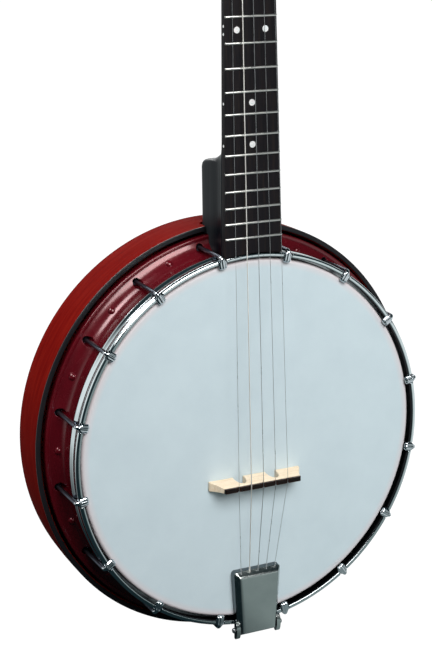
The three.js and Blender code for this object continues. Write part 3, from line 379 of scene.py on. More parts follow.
def piece(name, mesh, body, material, nodes=(), crease=35, bevel=0.0):
    """Makes a piece of a mesh: smooth, with creases past an angle, riding on a body."""
    mesh.name = name
    obj = new_object(name, mesh)
    mesh.materials.clear()
    mesh.materials.append(material)
    for polygon in mesh.polygons:
        polygon.material_index = 0
    mesh.shade_smooth()
    mesh.set_sharp_from_angle(angle=math.radians(crease))
    if bevel:
        modifier = obj.modifiers.new("edges", "BEVEL")
        modifier.width = bevel * MM
        modifier.segments = 3
        modifier.limit_method = "ANGLE"
        modifier.angle_limit = math.radians(crease)
        modifier.harden_normals = True
    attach(obj, body)
    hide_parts(*nodes)
    return obj


# ----------------------------------------------------------------- materials


class Look:
    """A principled material whose nodes are added by name."""

    def __init__(self, name, colour, roughness, metallic=0.0, coat=0.0, coat_roughness=0.05, specular=0.5):
        self.material = bpy.data.materials.new(name)
        self.material.use_nodes = True
        self.tree = self.material.node_tree
        self.surface = self.tree.nodes["Principled BSDF"]
        self.place = self.node("ShaderNodeTexCoord").outputs["Object"]
        self.set("Base Color", (*colour, 1))
        self.set("Roughness", roughness)
        self.set("Metallic", metallic)
        self.set("Coat Weight", coat)
        self.set("Coat Roughness", coat_roughness)
        self.set("Specular IOR Level", specular)
        self.material.diffuse_color = (*colour, 1)

    def set(self, socket, value):
        self.surface.inputs[socket].default_value = value

    def node(self, kind, **settings):
        made = self.tree.nodes.new(kind)
        for key, value in settings.items():
            setattr(made, key, value)
        return made

    def link(self, source, target):
        self.tree.links.new(source, target)

    def axes(self, source=None):
        """The x, y and z of a vector, or else of the place on the object."""
        made = self.node("ShaderNodeSeparateXYZ")
        self.link(source or self.place, made.inputs[0])
        return made.outputs

    def facing(self):
        """The surface's direction in the object's own axes."""
        return self.node("ShaderNodeTexCoord").outputs["Normal"]

    def noise(self, scale, detail=4.0, roughness=0.5, vector=None, distortion=0.0):
        made = self.node("ShaderNodeTexNoise")
        made.inputs["Scale"].default_value = scale
        made.inputs["Detail"].default_value = detail
        made.inputs["Roughness"].default_value = roughness
        made.inputs["Distortion"].default_value = distortion
        self.link(vector or self.place, made.inputs["Vector"])
        return made.outputs["Fac"]

    def grain(self, scale, detail, roughness=0.5, distortion=0.0):
        """Noise with a scale of its own along each axis."""
        mapping = self.node("ShaderNodeMapping")
        mapping.inputs["Scale"].default_value = scale
        self.link(self.place, mapping.inputs["Vector"])
        return self.noise(1, detail, roughness, mapping.outputs["Vector"], distortion)

    def ramp(self, source, stops):
        """Colours along a factor: stops are (position, colour)."""
        made = self.node("ShaderNodeValToRGB")
        elements = made.color_ramp.elements
        while len(elements) < len(stops):
            elements.new(0.5)
        for element, (position, colour) in zip(elements, stops):
            element.position = position
            element.color = (*colour, 1)
        self.link(source, made.inputs["Fac"])
        return made.outputs["Color"]

    def grey(self, source, low, high, values):
        """A factor stretched from low..high to two values."""
        made = self.node("ShaderNodeMapRange")
        for socket, value in zip(("From Min", "From Max", "To Min", "To Max"), (low, high, *values)):
            made.inputs[socket].default_value = value
        self.link(source, made.inputs["Value"])
        return made.outputs["Result"]

    def mix(self, factor, first, second):
        """Mixes two colours, each a tuple or a socket."""
        made = self.node("ShaderNodeMix", data_type="RGBA")
        for socket, value in ((made.inputs[0], factor), (made.inputs[6], first), (made.inputs[7], second)):
            if isinstance(value, (int, float)):
                socket.default_value = value
            elif isinstance(value, tuple):
                socket.default_value = (*value, 1)
            else:
                self.link(value, socket)
        return made.outputs[2]

    def combine(self, kind, operation, *sources):
        """One arithmetic node on its source sockets."""
        made = self.node(kind, operation=operation)
        for socket, source in zip(made.inputs, sources):
            self.link(source, socket)
        return made

    def maths(self, operation, *sources):
        return self.combine("ShaderNodeMath", operation, *sources).outputs[0]

    def dot(self, first, second):
        return self.combine("ShaderNodeVectorMath", "DOT_PRODUCT", first, second).outputs["Value"]

    def bump(self, height, depth_mm, strength, under=None):
        made = self.node("ShaderNodeBump")
        made.inputs["Strength"].default_value = strength
        made.inputs["Distance"].default_value = depth_mm * MM
        self.link(height, made.inputs["Height"])
        if under:
            self.link(under, made.inputs["Normal"])
        return made.outputs["Normal"]

    def soft_edges(self, radius_mm):
        """A normal that rounds edges narrower than the mesh shows."""
        made = self.node("ShaderNodeBevel", samples=4)
        made.inputs["Radius"].default_value = radius_mm * MM
        return made.outputs["Normal"]

    def worn_edges(self, radius_mm):
        """A factor that rises towards sharp edges."""
        flat = self.node("ShaderNodeNewGeometry").outputs["Normal"]
        return self.grey(self.dot(self.soft_edges(radius_mm), flat), 0.97, 0.75, (0, 1))

    def facing_middle(self):
        """A factor that is one on surfaces of a ring that face the pot's axis."""
        outward = self.combine("ShaderNodeVectorMath", "MULTIPLY", self.place)
        outward.inputs[1].default_value = (1, 0, 1)
        unit = self.combine("ShaderNodeVectorMath", "NORMALIZE", outward.outputs[0]).outputs[0]
        return self.grey(self.dot(unit, self.facing()), -0.35, -0.75, (0, 1))

    def drive(self, socket, source):
        self.link(source, self.surface.inputs[socket])

    def relief(self, height, depth_mm, strength, under=None):
        self.drive("Normal", self.bump(height, depth_mm, strength, under))


def chrome(name, shade_inside=False):
    """Polished plate with smudges. On a ring, the wall that faces the middle can be painted dark as painted
    shade.
    """
    colour = (0.74, 0.80, 0.82)
    look = Look(name, colour, 0.06, metallic=1.0)
    look.drive("Roughness", look.grey(look.noise(60, 5, 0.6), 0.4, 0.8, (0.06, 0.14)))
    tint = look.mix(look.grey(look.noise(140, 3), 0.3, 0.7, (0, 1)), colour, tuple(0.94 * c for c in colour))
    if shade_inside:
        # painted shade: the ring's wall that faces the pot's middle is darkened
        tint = look.mix(look.facing_middle(), tint, (0.035, 0.04, 0.045))
    look.drive("Base Color", tint)
    look.relief(look.noise(220, 2), 0.012, 0.5, look.soft_edges(0.25))
    return look.material


def hook_metal():
    """Chrome claws on chrome rods; the rods, behind the head's face, are painted dark and dull as painted
    shade.
    """
    look = Look("hook_chrome", (0.66, 0.70, 0.74), 0.1, metallic=1.0)
    axes = look.axes()
    # painted shade: the hook is dark and dull wherever it lies behind the head's face
    rod = look.grey(axes["Y"], HEAD_FACE - 0.0016, HEAD_FACE + 0.0004, (0, 1))
    smudges = look.grey(look.noise(60, 5, 0.6), 0.4, 0.8, (0.08, 0.2))
    look.drive("Roughness", look.mix(rod, smudges, (0.34, 0.34, 0.34)))
    look.drive("Base Color", look.mix(rod, (0.66, 0.70, 0.74), (0.09, 0.1, 0.13)))
    look.relief(look.noise(220, 2), 0.012, 0.5)
    return look.material


def tailpiece_metal():
    """Satin chrome with a faint haze; its pressed sides are painted dark as painted shade, and its face is
    left bright.
    """
    look = Look("chrome_tailpiece", (0.62, 0.66, 0.66), 0.16, metallic=1.0)
    towards = look.maths("ABSOLUTE", look.axes(look.facing())["Y"])
    # painted shade: surfaces that don't face front or back get the dark colour
    facing = look.grey(towards, 0.25, 0.95, (0, 1))
    sheen = look.grey(look.noise(40, 4, 0.6), 0.3, 0.7, (0, 1))
    bright = look.mix(sheen, (0.58, 0.62, 0.61), (0.68, 0.72, 0.70))
    look.drive("Base Color", look.mix(facing, (0.13, 0.15, 0.16), bright))
    look.drive("Roughness", look.grey(sheen, 0, 1, (0.14, 0.24)))
    look.relief(look.noise(220, 2), 0.01, 0.5, look.soft_edges(0.25))
    return look.material


def brushed_steel(name, colour=(0.56, 0.57, 0.59), along=(900, 900, 40)):
    """Plain metal with fine strokes along one axis."""
    look = Look(name, colour, 0.28, metallic=1.0)
    strokes = look.grain(along, 4, 0.7)
    look.drive("Roughness", look.grey(strokes, 0.2, 0.8, (0.2, 0.42)))
    look.drive("Base Color", look.mix(strokes, tuple(0.8 * c for c in colour), colour))
    look.relief(strokes, 0.01, 0.6)
    return look.material


def red_enamel():
    """Deep gloss red over a casting: orange peel, a little flake and thin paint on the edges."""
    look = Look(
        "cast_red_enamel", (0.085, 0.004, 0.010), 0.22,
        metallic=0.25, coat=0.55, coat_roughness=0.16, specular=0.3,
    )
    cloud = look.noise(14, 4)
    body = look.mix(look.grey(cloud, 0.3, 0.7, (0, 1)), (0.070, 0.0015, 0.005), (0.115, 0.003, 0.008))
    flakes = look.grey(look.noise(1800, 1), 0.62, 0.75, (0, 0.35))
    body = look.mix(flakes, body, (0.3, 0.03, 0.05))
    look.drive("Base Color", look.mix(look.worn_edges(0.5), body, (0.24, 0.03, 0.05)))
    look.drive("Roughness", look.grey(look.noise(90, 3), 0.3, 0.8, (0.2, 0.34)))
    look.relief(look.noise(160, 2), 0.015, 0.4, look.soft_edges(0.5))
    return look.material


def red_mahogany():
    """Satin red stain over mahogany: long grain round the rim, pores, and uneven colour."""
    look = Look("red_mahogany", (0.17, 0.006, 0.004), 0.42, specular=0.0005)
    grain = look.grain((26, 420, 26), 6, 0.62, 0.6)
    pores = look.grain((160, 2600, 160), 2, 0.5)
    cloud = look.noise(7, 3)
    stain = look.ramp(grain, [
        (0.28, (0.115, 0.003, 0.003)), (0.5, (0.170, 0.006, 0.004)), (0.72, (0.215, 0.011, 0.006)),
    ])
    stain = look.mix(look.grey(cloud, 0.3, 0.75, (0, 0.4)), stain, (0.125, 0.004, 0.004))
    pore_mask = look.grey(pores, 0.64, 0.74, (0, 0.6))
    stain = look.mix(pore_mask, stain, (0.045, 0.002, 0.002))
    look.drive("Base Color", look.mix(look.worn_edges(0.4), stain, (0.30, 0.02, 0.01)))
    look.drive("Roughness", look.grey(grain, 0.25, 0.75, (0.44, 0.32)))
    look.relief(grain, 0.04, 0.25, look.bump(pores, 0.03, 0.35))
    return look.material


def black_lacquer():
    """Satin black over maple, painted paler towards the heel's back as painted light and darker near the
    board as painted shade: the wood's long grain shows faintly.
    """
    look = Look("neck_black_lacquer", (0.012, 0.013, 0.016), 0.33, specular=0.025)
    grain = look.grain((420, 420, 16), 5, 0.6, 0.4)
    handling = look.noise(22, 4)
    axes = look.axes()
    # painted light and shade: black near the board, a paler lit black further back on the heel
    heel = look.grey(axes["Y"], HEAD_FACE + 0.020, HEAD_FACE + 0.034, (0, 1))
    black = look.ramp(grain, [(0.3, (0.0015, 0.0022, 0.004)), (0.7, (0.004, 0.006, 0.009))])
    lit_black = look.ramp(grain, [(0.3, (0.014, 0.016, 0.018)), (0.7, (0.022, 0.025, 0.028))])
    lacquer = look.mix(heel, black, lit_black)
    look.drive("Base Color", look.mix(look.worn_edges(0.5), lacquer, (0.05, 0.04, 0.035)))
    look.drive("Roughness", look.grey(handling, 0.3, 0.75, (0.27, 0.42)))
    look.relief(grain, 0.03, 0.3)
    return look.material


def dark_board():
    """Dyed dark hardwood: brown-black streaks along the board and open pores."""
    look = Look("board_dark_wood", (0.015, 0.013, 0.016), 0.5, specular=0.1)
    streaks = look.grain((520, 520, 14), 7, 0.62, 0.9)
    pores = look.grain((2400, 2400, 150), 2, 0.5)
    wood = look.ramp(streaks, [
        (0.25, (0.004, 0.004, 0.005)), (0.5, (0.007, 0.006, 0.008)), (0.66, (0.014, 0.010, 0.009)),
        (0.8, (0.006, 0.006, 0.007)),
    ])
    wood = look.mix(look.grey(pores, 0.6, 0.72, (0, 0.7)), wood, (0.003, 0.003, 0.003))
    look.drive("Base Color", wood)
    look.drive("Roughness", look.grey(streaks, 0.3, 0.8, (0.44, 0.6)))
    look.relief(pores, 0.05, 0.5)
    return look.material


def pale_wood():
    """Bare maple: cream with fine brown flecks and darker end grain lines."""
    look = Look("maple_bare", (0.72, 0.50, 0.28), 0.5)
    grain = look.grain((60, 900, 500), 6, 0.6, 0.5)
    flecks = look.grain((700, 3200, 3200), 2, 0.4)
    wood = look.ramp(grain, [
        (0.3, (0.80, 0.62, 0.42)), (0.55, (0.90, 0.75, 0.56)), (0.75, (0.93, 0.82, 0.66)),
    ])
    wood = look.mix(look.grey(flecks, 0.62, 0.72, (0, 0.45)), wood, (0.42, 0.22, 0.09))
    look.drive("Base Color", look.mix(look.worn_edges(0.35), wood, (0.9, 0.74, 0.52)))
    look.drive("Roughness", look.grey(grain, 0.3, 0.7, (0.42, 0.58)))
    look.relief(flecks, 0.03, 0.5)
    return look.material


def dark_cap():
    """Polished ebony, brown where its edges are worn."""
    look = Look("ebony_cap", (0.008, 0.005, 0.004), 0.36, specular=0.2)
    grain = look.grain((50, 1500, 1500), 5, 0.6, 0.4)
    wood = look.ramp(grain, [(0.35, (0.004, 0.003, 0.003)), (0.7, (0.012, 0.006, 0.004))])
    look.drive("Base Color", look.mix(look.worn_edges(0.5), wood, (0.14, 0.04, 0.02)))
    look.relief(grain, 0.02, 0.4)
    return look.material


def frosted_skin():
    """A sprayed, frosted plastic head: fine tooth, faint mottling, a little translucency, and a warm ring at
    its crown painted in as painted light.
    """
    look = Look("head_frosted", (0.60, 0.66, 0.68), 0.55)
    axes = look.axes()
    across = look.maths("MULTIPLY", axes["X"], axes["X"])
    along = look.maths("MULTIPLY", axes["Z"], axes["Z"])
    radius = look.maths("SQRT", look.maths("ADD", across, along))
    # painted light: a warm, paler ring on the crown where it turns down
    rim = look.grey(radius, 0.1325, 0.1385, (0, 1))
    mottle = look.noise(38, 5, 0.6)
    skin = look.ramp(mottle, [(0.3, (0.520, 0.622, 0.672)), (0.7, (0.556, 0.660, 0.708))])
    speckle = look.noise(1500, 1)
    skin = look.mix(look.grey(speckle, 0.35, 0.7, (0, 0.10)), skin, (0.74, 0.80, 0.81))
    look.drive("Base Color", look.mix(rim, skin, (0.66, 0.61, 0.63)))
    look.drive("Roughness", look.grey(mottle, 0.3, 0.7, (0.50, 0.62)))
    look.relief(look.noise(2400, 2), 0.02, 0.6)
    look.set("Subsurface Weight", 0.06)
    look.set("Subsurface Radius", (0.002, 0.002, 0.002))
    return look.material


def plastic(name, colour, roughness):
    """Black plastic with a faint tooth, paler on its edges."""
    look = Look(name, colour, roughness, coat=0.03, coat_roughness=0.15, specular=0.15)
    dim = tuple(0.8 * c for c in colour)
    bright = tuple(1.2 * c for c in colour)
    worn = tuple(2.2 * c + 0.01 for c in colour)
    look.drive("Base Color", look.mix(look.worn_edges(0.4), look.mix(look.noise(45, 4), dim, bright), worn))
    look.drive("Roughness", look.grey(look.noise(120, 3), 0.3, 0.7, (roughness - 0.06, roughness + 0.08)))
    look.relief(look.noise(700, 2), 0.02, 0.4)
    return look.material


def shell(name, light, shade, scale):
    """Mother-of-pearl or its plastic twin: folded clouds with a soft sheen."""
    look = Look(name, light, 0.22, coat=0.6, coat_roughness=0.06)
    folds = look.noise(scale, 5, 0.65, distortion=2.2)
    tints = look.noise(scale * 0.6, 2, 0.5, distortion=3.0)
    body = look.ramp(folds, [(0.32, shade), (0.5, light), (0.68, (0.80, 0.80, 0.80))])
    blush = look.ramp(tints, [
        (0.35, (0.62, 0.74, 0.78)), (0.5, (0.80, 0.80, 0.78)), (0.65, (0.80, 0.66, 0.70)),
    ])
    look.drive("Base Color", look.mix(0.35, body, blush))
    look.drive("Roughness", look.grey(folds, 0.3, 0.7, (0.16, 0.34)))
    return look.material


def bone():
    """Polished bone with faint streaks."""
    look = Look("bone_nut", (0.78, 0.74, 0.62), 0.35)
    streaks = look.grain((120, 900, 900), 4, 0.6)
    look.drive("Base Color", look.ramp(streaks, [(0.3, (0.70, 0.64, 0.50)), (0.7, (0.83, 0.79, 0.68))]))
    look.relief(streaks, 0.02, 0.4)
    return look.material


def wound_wire():
    """A plain core with a thin wrap: fine rings along the string."""
    look = Look("wound_string", (0.80, 0.78, 0.74), 0.4, metallic=0.6)
    bands = look.node("ShaderNodeTexWave", wave_type="BANDS", bands_direction="Z", wave_profile="SIN")
    bands.inputs["Scale"].default_value = 900
    look.link(look.place, bands.inputs["Vector"])
    look.drive("Base Color", look.mix(look.noise(90, 3), (0.66, 0.64, 0.60), (0.92, 0.90, 0.86)))
    look.relief(bands.outputs["Fac"], 0.05, 0.6)
    return look.material


CHROME = chrome("chrome_plate")
HOOP_CHROME = chrome("chrome_hoop", shade_inside=True)
HOOK_CHROME = hook_metal()
TAIL_CHROME = tailpiece_metal()
STEEL = brushed_steel("steel_plain")
FRET_METAL = brushed_steel("fret_nickel", (0.74, 0.73, 0.70), (60, 900, 900))
STRING_METAL = brushed_steel("string_steel", (0.62, 0.63, 0.64))
WOUND = wound_wire()
ENAMEL = red_enamel()
MAHOGANY = red_mahogany()
LACQUER = black_lacquer()
BOARD = dark_board()
MAPLE = pale_wood()
EBONY = dark_cap()
SKIN = frosted_skin()
BINDING = plastic("binding_black", (0.010, 0.010, 0.012), 0.4)
COVER_BLACK = plastic("cover_black", (0.010, 0.010, 0.011), 0.22)
PEARL = shell("pearl_inlay", (0.72, 0.74, 0.74), (0.46, 0.50, 0.52), 260)
PEARLOID = shell("pearloid_button", (0.76, 0.75, 0.71), (0.58, 0.57, 0.54), 130)
BONE = bone()

# -------------------------------------------------------------- pot and head


def on_cove(turn):
    """The radius and depth on the cove at an angle round from the wall."""
    return (POT_WALL + COVE_RADIUS * (1 - math.cos(turn)), COVE_START + COVE_RADIUS * math.sin(turn))


def pot_additions():
    """The screw posts behind the flange, and the buttons on the cove between the hooks."""
    added = Part()
    post = bent([(0, 42, 0), (5.6, 42, 0), (4.5, 46, 2.0), (4.5, 78.6, 0.7), (0, 78.6, 0)])
    for angle in LUG_ANGLES:
        added.turned(post, 32, at_circle(LUG_CIRCLE, angle))
    crown = [(BUTTON_RADIUS * math.cos(a), BUTTON_HEIGHT * math.sin(a)) for a in spread(0, 1.45, 9)]
    button = [(0, -1.2), (BUTTON_RADIUS, -1.2), *crown, (0, BUTTON_HEIGHT)]
    radius, depth = on_cove(BUTTON_TURN)
    out, back = BUTTON_LEAN
    for k in range(1, HOOK_COUNT):
        angle = drifted(k * 360 / HOOK_COUNT)
        axis = turn_to(on_circle(radius, angle, depth), on_circle(radius + out, angle, depth + back))
        added.turned(button, 24, axis)
    return added.mesh()


def pot_cutters():
    """The hook holes, the threaded holes in the screw posts, and the rod's holes."""
    cutters = Part()
    hook_hole = [(0, 20), (4.6, 20), (4.4, 33), (3.0, 35.6), (3.0, 42.4), (3.4, 43.2), (3.4, 45), (0, 45)]
    for angle in HOOK_ANGLES:
        cutters.turned(hook_hole, 32, at_circle(HOOK_CIRCLE, angle))
    post_hole = [(0, 65), (1.9, 65), (2.0, 77.8), (2.8, 79.5), (0, 79.5)]
    for angle in LUG_ANGLES:
        cutters.turned(post_hole, 24, at_circle(LUG_CIRCLE, angle))
    cutters.turned(pin_profile(ROD_HOLE, -FLANGE_RADIUS, FLANGE_RADIUS), 32, ROD_LINE)
    return cutters.mesh()


def make_pot():
    """One casting: rim, cove and flange, with buttons, hook holes and screw posts."""
    front = bent([
        (POT_INNER, 6, 0), (POT_INNER, 0.8, 0.5), (135.3, 0.8, 0.8), (138.5, 4, 0.8), (138.5, 11.6, 0.4),
        (POT_WALL, 12.4, 0.5), (POT_WALL, 20, 0),
    ])
    cove_end = math.acos(1 - (COVE_END - POT_WALL) / COVE_RADIUS)
    cove = [on_cove(turn) for turn in spread(0, cove_end, 18)]
    flange = bent([
        (COVE_END, FLANGE_FRONT + 0.5, 0), (COVE_END + 0.1, FLANGE_FRONT, 0.35),
        (FLANGE_RADIUS, FLANGE_FRONT, 0.9), (FLANGE_RADIUS, FLANGE_BACK, 0.9), (POT_WALL, FLANGE_BACK, 1.5),
        (POT_WALL, POT_BACK, 1.0), (POT_INNER, POT_BACK, 1.0), (POT_INNER, 40, 0),
    ])
    casting = boolean(Part().turned(front + cove + flange).mesh(), pot_additions(), "UNION")
    casting = boolean(casting, pot_cutters())
    piece("pot_casting", casting, "banjo_frame", ENAMEL, ["pot"], crease=32)


def make_head():
    """The skin with its turned-down crown and collar, and the ring that holds its edge."""
    thick, collar_end = 0.4, 10.6
    outer = bent([(0, 0, 0), (HEAD_RADIUS, 0, 2.6), (HEAD_RADIUS, collar_end, 0)], steps=12)
    inner_radius = HEAD_RADIUS - thick
    inner = bent([(inner_radius, collar_end, 0), (inner_radius, thick, 2.2), (0, thick, 0)], steps=12)
    flat = [(radius, 0) for radius in (20, 45, 70, 95, 118, 132)]
    skin = Part().turned(outer[:1] + flat + outer[1:] + inner).mesh()
    piece("head_skin", skin, "banjo_frame", SKIN, ["drum_head"])
    ring = rounded([(139.4, 7, 0.5), (143, 7, 0.5), (143, 11, 0.5), (139.4, 11, 0.5)])
    piece("head_ring", Part().turned(ring).mesh(), "banjo_frame", STEEL, ["flesh_hoop"])


def make_hoop():
    """The tension hoop: crowned top, hollowed outer wall, inner shoulder, and a notch for each hook."""
    hollow = [(HOOP_OUTER - 0.7 * math.sin(math.pi * t), lerp(0.4, 8.6, t), 0) for t in spread(0, 1, 15)]
    profile = rounded([
        (HOOP_INNER, HOOP_TOP, 1.1), (HOOP_OUTER, HOOP_TOP, 1.6), *hollow, (HOOP_OUTER, HOOP_BOTTOM, 1.0),
        (143.3, HOOP_BOTTOM, 0.4), (143.3, 6.6, 0.2), (HOOP_INNER, 6.6, 0.5),
    ], steps=6)
    half = NOTCH_WIDTH / 2
    notch = rounded([(-half, -1.2, 0.9), (half, -1.2, 0.9), (half + 0.5, -6, 0), (-half - 0.5, -6, 0)])
    notches = Part()
    for angle in HOOK_ANGLES:
        notches.plate(notch, (HOOP_INNER - 3, HOOP_OUTER + 3), "z", about_pot(angle))
    ring = boolean(Part().turned(profile).mesh(), notches.mesh())
    piece("tension_ring", ring, "banjo_frame", HOOP_CHROME, ["tension_hoop"], crease=40)


def hook_path():
    """The hook's middle line as (depth, radius): thread, rod, bend and claw."""
    top, bend = -3.3, 2.5
    path = [(lerp(52, THREAD_START - 0.8, t), HOOK_CIRCLE) for t in spread(0, 1, 6)]
    path += [(lerp(45, top + bend, t), HOOK_CIRCLE) for t in spread(0, 1, 8)]
    path += [
        (top + bend * (1 - math.sin(a)), HOOK_CIRCLE - bend * (1 - math.cos(a)))
        for a in spread(0.2, math.pi / 2, 8)
    ]
    path += [(top + 0.25 * t, lerp(143.9, 138.8, t)) for t in spread(0.1, 1, 8)]
    return path + [(top + 0.6, 137.9), (top + 0.95, 137.5)]


def make_hooks():
    """Round hooks whose ends are pressed out into a wide claw with three ridges, and their nuts."""
    path = hook_path()

    def section(i, angle):
        depth, radius = path[i]
        flat = smoothstep(radius, 145.4, 143.3)
        half = lerp(HOOK_ROD, 3.4, flat)
        thick = lerp(HOOK_ROD, 1.35, flat)
        if radius < 138.7:
            shrink = math.sqrt((radius - 137.4) / 1.4)
            half *= lerp(1, shrink, 0.6)
            thick *= shrink
        thread = 0.12 * math.cos(i * math.pi) if depth > THREAD_START else 0
        across = (half + thread) * math.cos(angle)
        groove = 1 - 0.15 * flat * (1 - math.cos(3 * math.pi * across / half))
        return across, (thick + thread) * math.sin(angle) * groove

    points = [(0, depth, radius) for depth, radius in path]
    washer = rounded([(1.9, 43.2, 0.1), (4.4, 43.2, 0.2), (4.4, 44, 0.2), (1.9, 44, 0.1)])
    nuts = Part()
    for k, angle in enumerate(HOOK_ANGLES, 1):
        mesh = Part().tube(points, section, sides=48, matrix=about_pot(angle)).mesh()
        node = f"bracket_hook_{k:02d}"
        piece(f"hook_{k:02d}", mesh, "banjo_frame", HOOK_CHROME, [node], crease=50)
        place = at_circle(HOOK_CIRCLE, angle) @ about_pot(angle)
        nuts.turned(hex_nut(4.6, 44.1, 49.5), 6, place)
        nuts.turned(washer, 32, place)
    piece("hook_nuts", nuts.mesh(), "banjo_frame", HOOK_CHROME, crease=30, bevel=0.15)


def hex_nut(radius, low, high):
    """The profile of a nut that is turned in six steps, with chamfered faces."""
    chamfer = 0.13 * radius
    return [(1.75, low), (radius - chamfer, low), (radius, low + chamfer * 0.7),
            (radius, high - chamfer * 0.7), (radius - chamfer, high), (1.75, high)]


# ------------------------------------------------------------------ resonator


def heel_opening(extra):
    """The opening that the heel passes through: square below, flared and rounded at the rim."""
    half = NOTCH_HALF + extra
    flare = 4.5
    rim = RIM_DEPTH
    left = [(-half - flare - 3, rim - 8), (-half - flare, rim - 1)]
    left += bezier((-half - flare, rim), (-half - 0.6, rim), (-half, rim + 2), (-half, rim + 7))
    left += bent([(-half, 50, 0), (-half, NOTCH_DEPTH, 4), (0, NOTCH_DEPTH, 0)])[1:-1]
    outline = left + [(-x, d) for x, d in reversed(left)]
    return Part().plate(outline, (RESONATOR_RADIUS / 2, RESONATOR_RADIUS + 10), "z").mesh()


def make_resonator():
    """A wooden bowl: straight side, rounded shoulder, and a gently domed back with a flat middle."""
    back, inner_back = RESONATOR_BACK, 85
    band_end = RIM_DEPTH + BINDING_HEIGHT
    edge = band_end + 0.05
    side = [(RESONATOR_RADIUS, edge + 0.2), (159.85, edge + 12), (159.5, edge + 24), (158.8, 78)]
    shoulder = bezier((158.8, 78), (158.5, 83.5), (155.4, 85.4), (150, 85.6), 10)[1:]
    dome = bezier((150, 85.6), (130, 86.8), (90, 90), (FLAT_RADIUS, back), 14)[1:]
    inside = bezier((60, inner_back), (95, inner_back), (125, 82.8), (148, 80.8), 12)
    inside += bezier((148, 80.8), (152.4, 80.2), (154.4, 78), (154.6, 73), 6)[1:]
    inside += [(155.9, edge + 8), (156, edge)]
    profile = [(0, inner_back), (30, inner_back), *inside, *side, *shoulder, *dome, (30, back), (0, back)]
    bowl = boolean(Part().turned(profile).mesh(), heel_opening(0))
    seats = Part()
    for angle in LUG_ANGLES:
        seat = [(0, 70), (2.2, 70), (2.2, 84), (4.5, 84), (4.7, 86.5), (5.2, 92), (0, 92)]
        seats.turned(seat, 32, at_circle(LUG_CIRCLE, angle))
    bowl = boolean(bowl, seats.mesh())
    piece("resonator_bowl", bowl, "resonator", MAHOGANY, ["resonator"], crease=34)
    band = rounded([
        (156.4, RIM_DEPTH, 0.5), (RESONATOR_RADIUS, RIM_DEPTH, 0.7), (RESONATOR_RADIUS, band_end, 0.2),
        (156.4, band_end, 0.2),
    ])
    band = boolean(Part().turned(band).mesh(), heel_opening(-0.4))
    piece("resonator_edge", band, "resonator", BINDING, ["resonator_binding"])
    for k, angle in enumerate(LUG_ANGLES, 1):
        make_screw(k, angle)


def make_screw(number, angle):
    """A round-headed screw with a cross recess and a threaded shaft."""
    shaft = bent([(0, 66, 0), (1.0, 66, 0.3), (1.7, 68, 0.4), (1.7, 83.2, 0.2)])[:-2]
    thread = [(1.78 if k % 2 else 1.5, 68.5 + k * 0.55) for k in range(16)]
    head = [(1.7, 83.3), (4.1, 83.4), (4.2, 84.0)]
    head += [(4.2 * math.cos(a), 84.2 + 1.6 * math.sin(a)) for a in spread(0.15, 1.45, 8)] + [(0, SCREW_TOP)]
    place = at_circle(LUG_CIRCLE, angle) @ about_pot(angle)
    mesh = Part().turned(shaft + thread + head, 40, place).mesh()
    arm, thin = 2.1, 0.42
    cross = [(-thin, -arm), (thin, -arm), (thin, -thin), (arm, -thin), (arm, thin), (thin, thin)]
    cross += [(-x, -z) for x, z in cross]
    mesh = boolean(mesh, Part().plate(cross, (SCREW_TOP - 1.3, SCREW_TOP + 1), matrix=place).mesh())
    name = f"back_screw_{number}"
    piece(name, mesh, "resonator", CHROME, [f"resonator_screw_{number}"], crease=30)


def make_rod():
    """The coordinator rod, its inner nuts, and the nut that holds the tailpiece's leg."""
    rod = Part()
    ends = bent([(0, -154.5, 0), (ROD_RADIUS, -154.5, 0.6), (ROD_RADIUS, 174, 0.6), (0, 174, 0)])
    rod.turned(ends, 40, ROD_LINE)
    for side in (1, -1):
        low, high = sorted((side * 124.5, side * 130.7))
        profile = [(4.05, low), (6.6, low), (7.5, low + 0.8), (7.5, high - 0.8), (6.6, high), (4.05, high)]
        rod.turned(profile, 6, ROD_LINE)
    piece("rod", rod.mesh(), "banjo_frame", STEEL, ["coordinator_rod"], crease=30)
    nut = [(4.3, -153.7), (5.4, -153.7), (6.2, -153.1), (6.2, -150.7), (5.4, -150.1), (4.3, -150.1)]
    nut = Part().turned(nut, 6, ROD_LINE).mesh()
    piece("leg_nut", nut, "banjo_frame", STEEL, ["tail_nut"], crease=30, bevel=0.15)


# ----------------------------------------------------------------------- neck


def fret_station(n):
    return NUT_STATION - SCALE_LENGTH * (1 - 2 ** (-n / 12))


FIFTH_NUT_STATION = fret_station(5) + 4


def treble_edge(station):
    return lerp(23.3, 20.15, station / NUT_STATION)


def bass_edge(station):
    wide = lerp(-24.5, -18.1, station / fret_station(5))
    slim = lerp(-12.6, -11.6, station / NUT_STATION)
    return lerp(wide, slim, smoothstep(station, 347, 363))


def neck_back(station):
    """How far back the wood reaches, from the board's front."""
    shaft = lerp(23.5, 19, station / NUT_STATION)
    corner_length, corner_depth = HEEL_CORNER
    start = HEEL_TOP - corner_length
    if station <= start:
        return HEEL_BACK
    corner_end = HEEL_BACK - corner_depth
    if station <= HEEL_TOP:
        return corner_end + corner_depth * math.sqrt(max(0, 1 - ((station - start) / corner_length) ** 2))
    left = max(0, 1 - (station - HEEL_TOP) / HEEL_FILLET)
    volute = 2.6 * math.exp(-(((station - NUT_STATION - 3) / 10) ** 2))
    return shaft + (corner_end - shaft) * (1 - math.sqrt(1 - left ** 2)) + volute


REACHES = (0.03, 0.06, 0.1, 0.15, 0.22, 0.3, 0.4, 0.5, 0.6, 0.7, 0.78, 0.85, 0.9, 0.94, 0.97, 0.985, 0.995)


def fullness(reach, power):
    return (1 - reach ** power) ** (1 / power)


def wood_section(half, front, back, edge, width):
    """One ring of wood about its own middle: front edges eased, then width(reach) down to the back."""
    depth = back - front
    side = [(max(0.05, half - edge), front), (max(0.1, half - edge * 0.3), front + edge * 0.3)]
    side.append((half, front + edge))
    side += [(width(reach), front + edge + reach * (depth - edge)) for reach in REACHES]
    return side + [(0, back)] + [(-x, y) for x, y in reversed(side)]


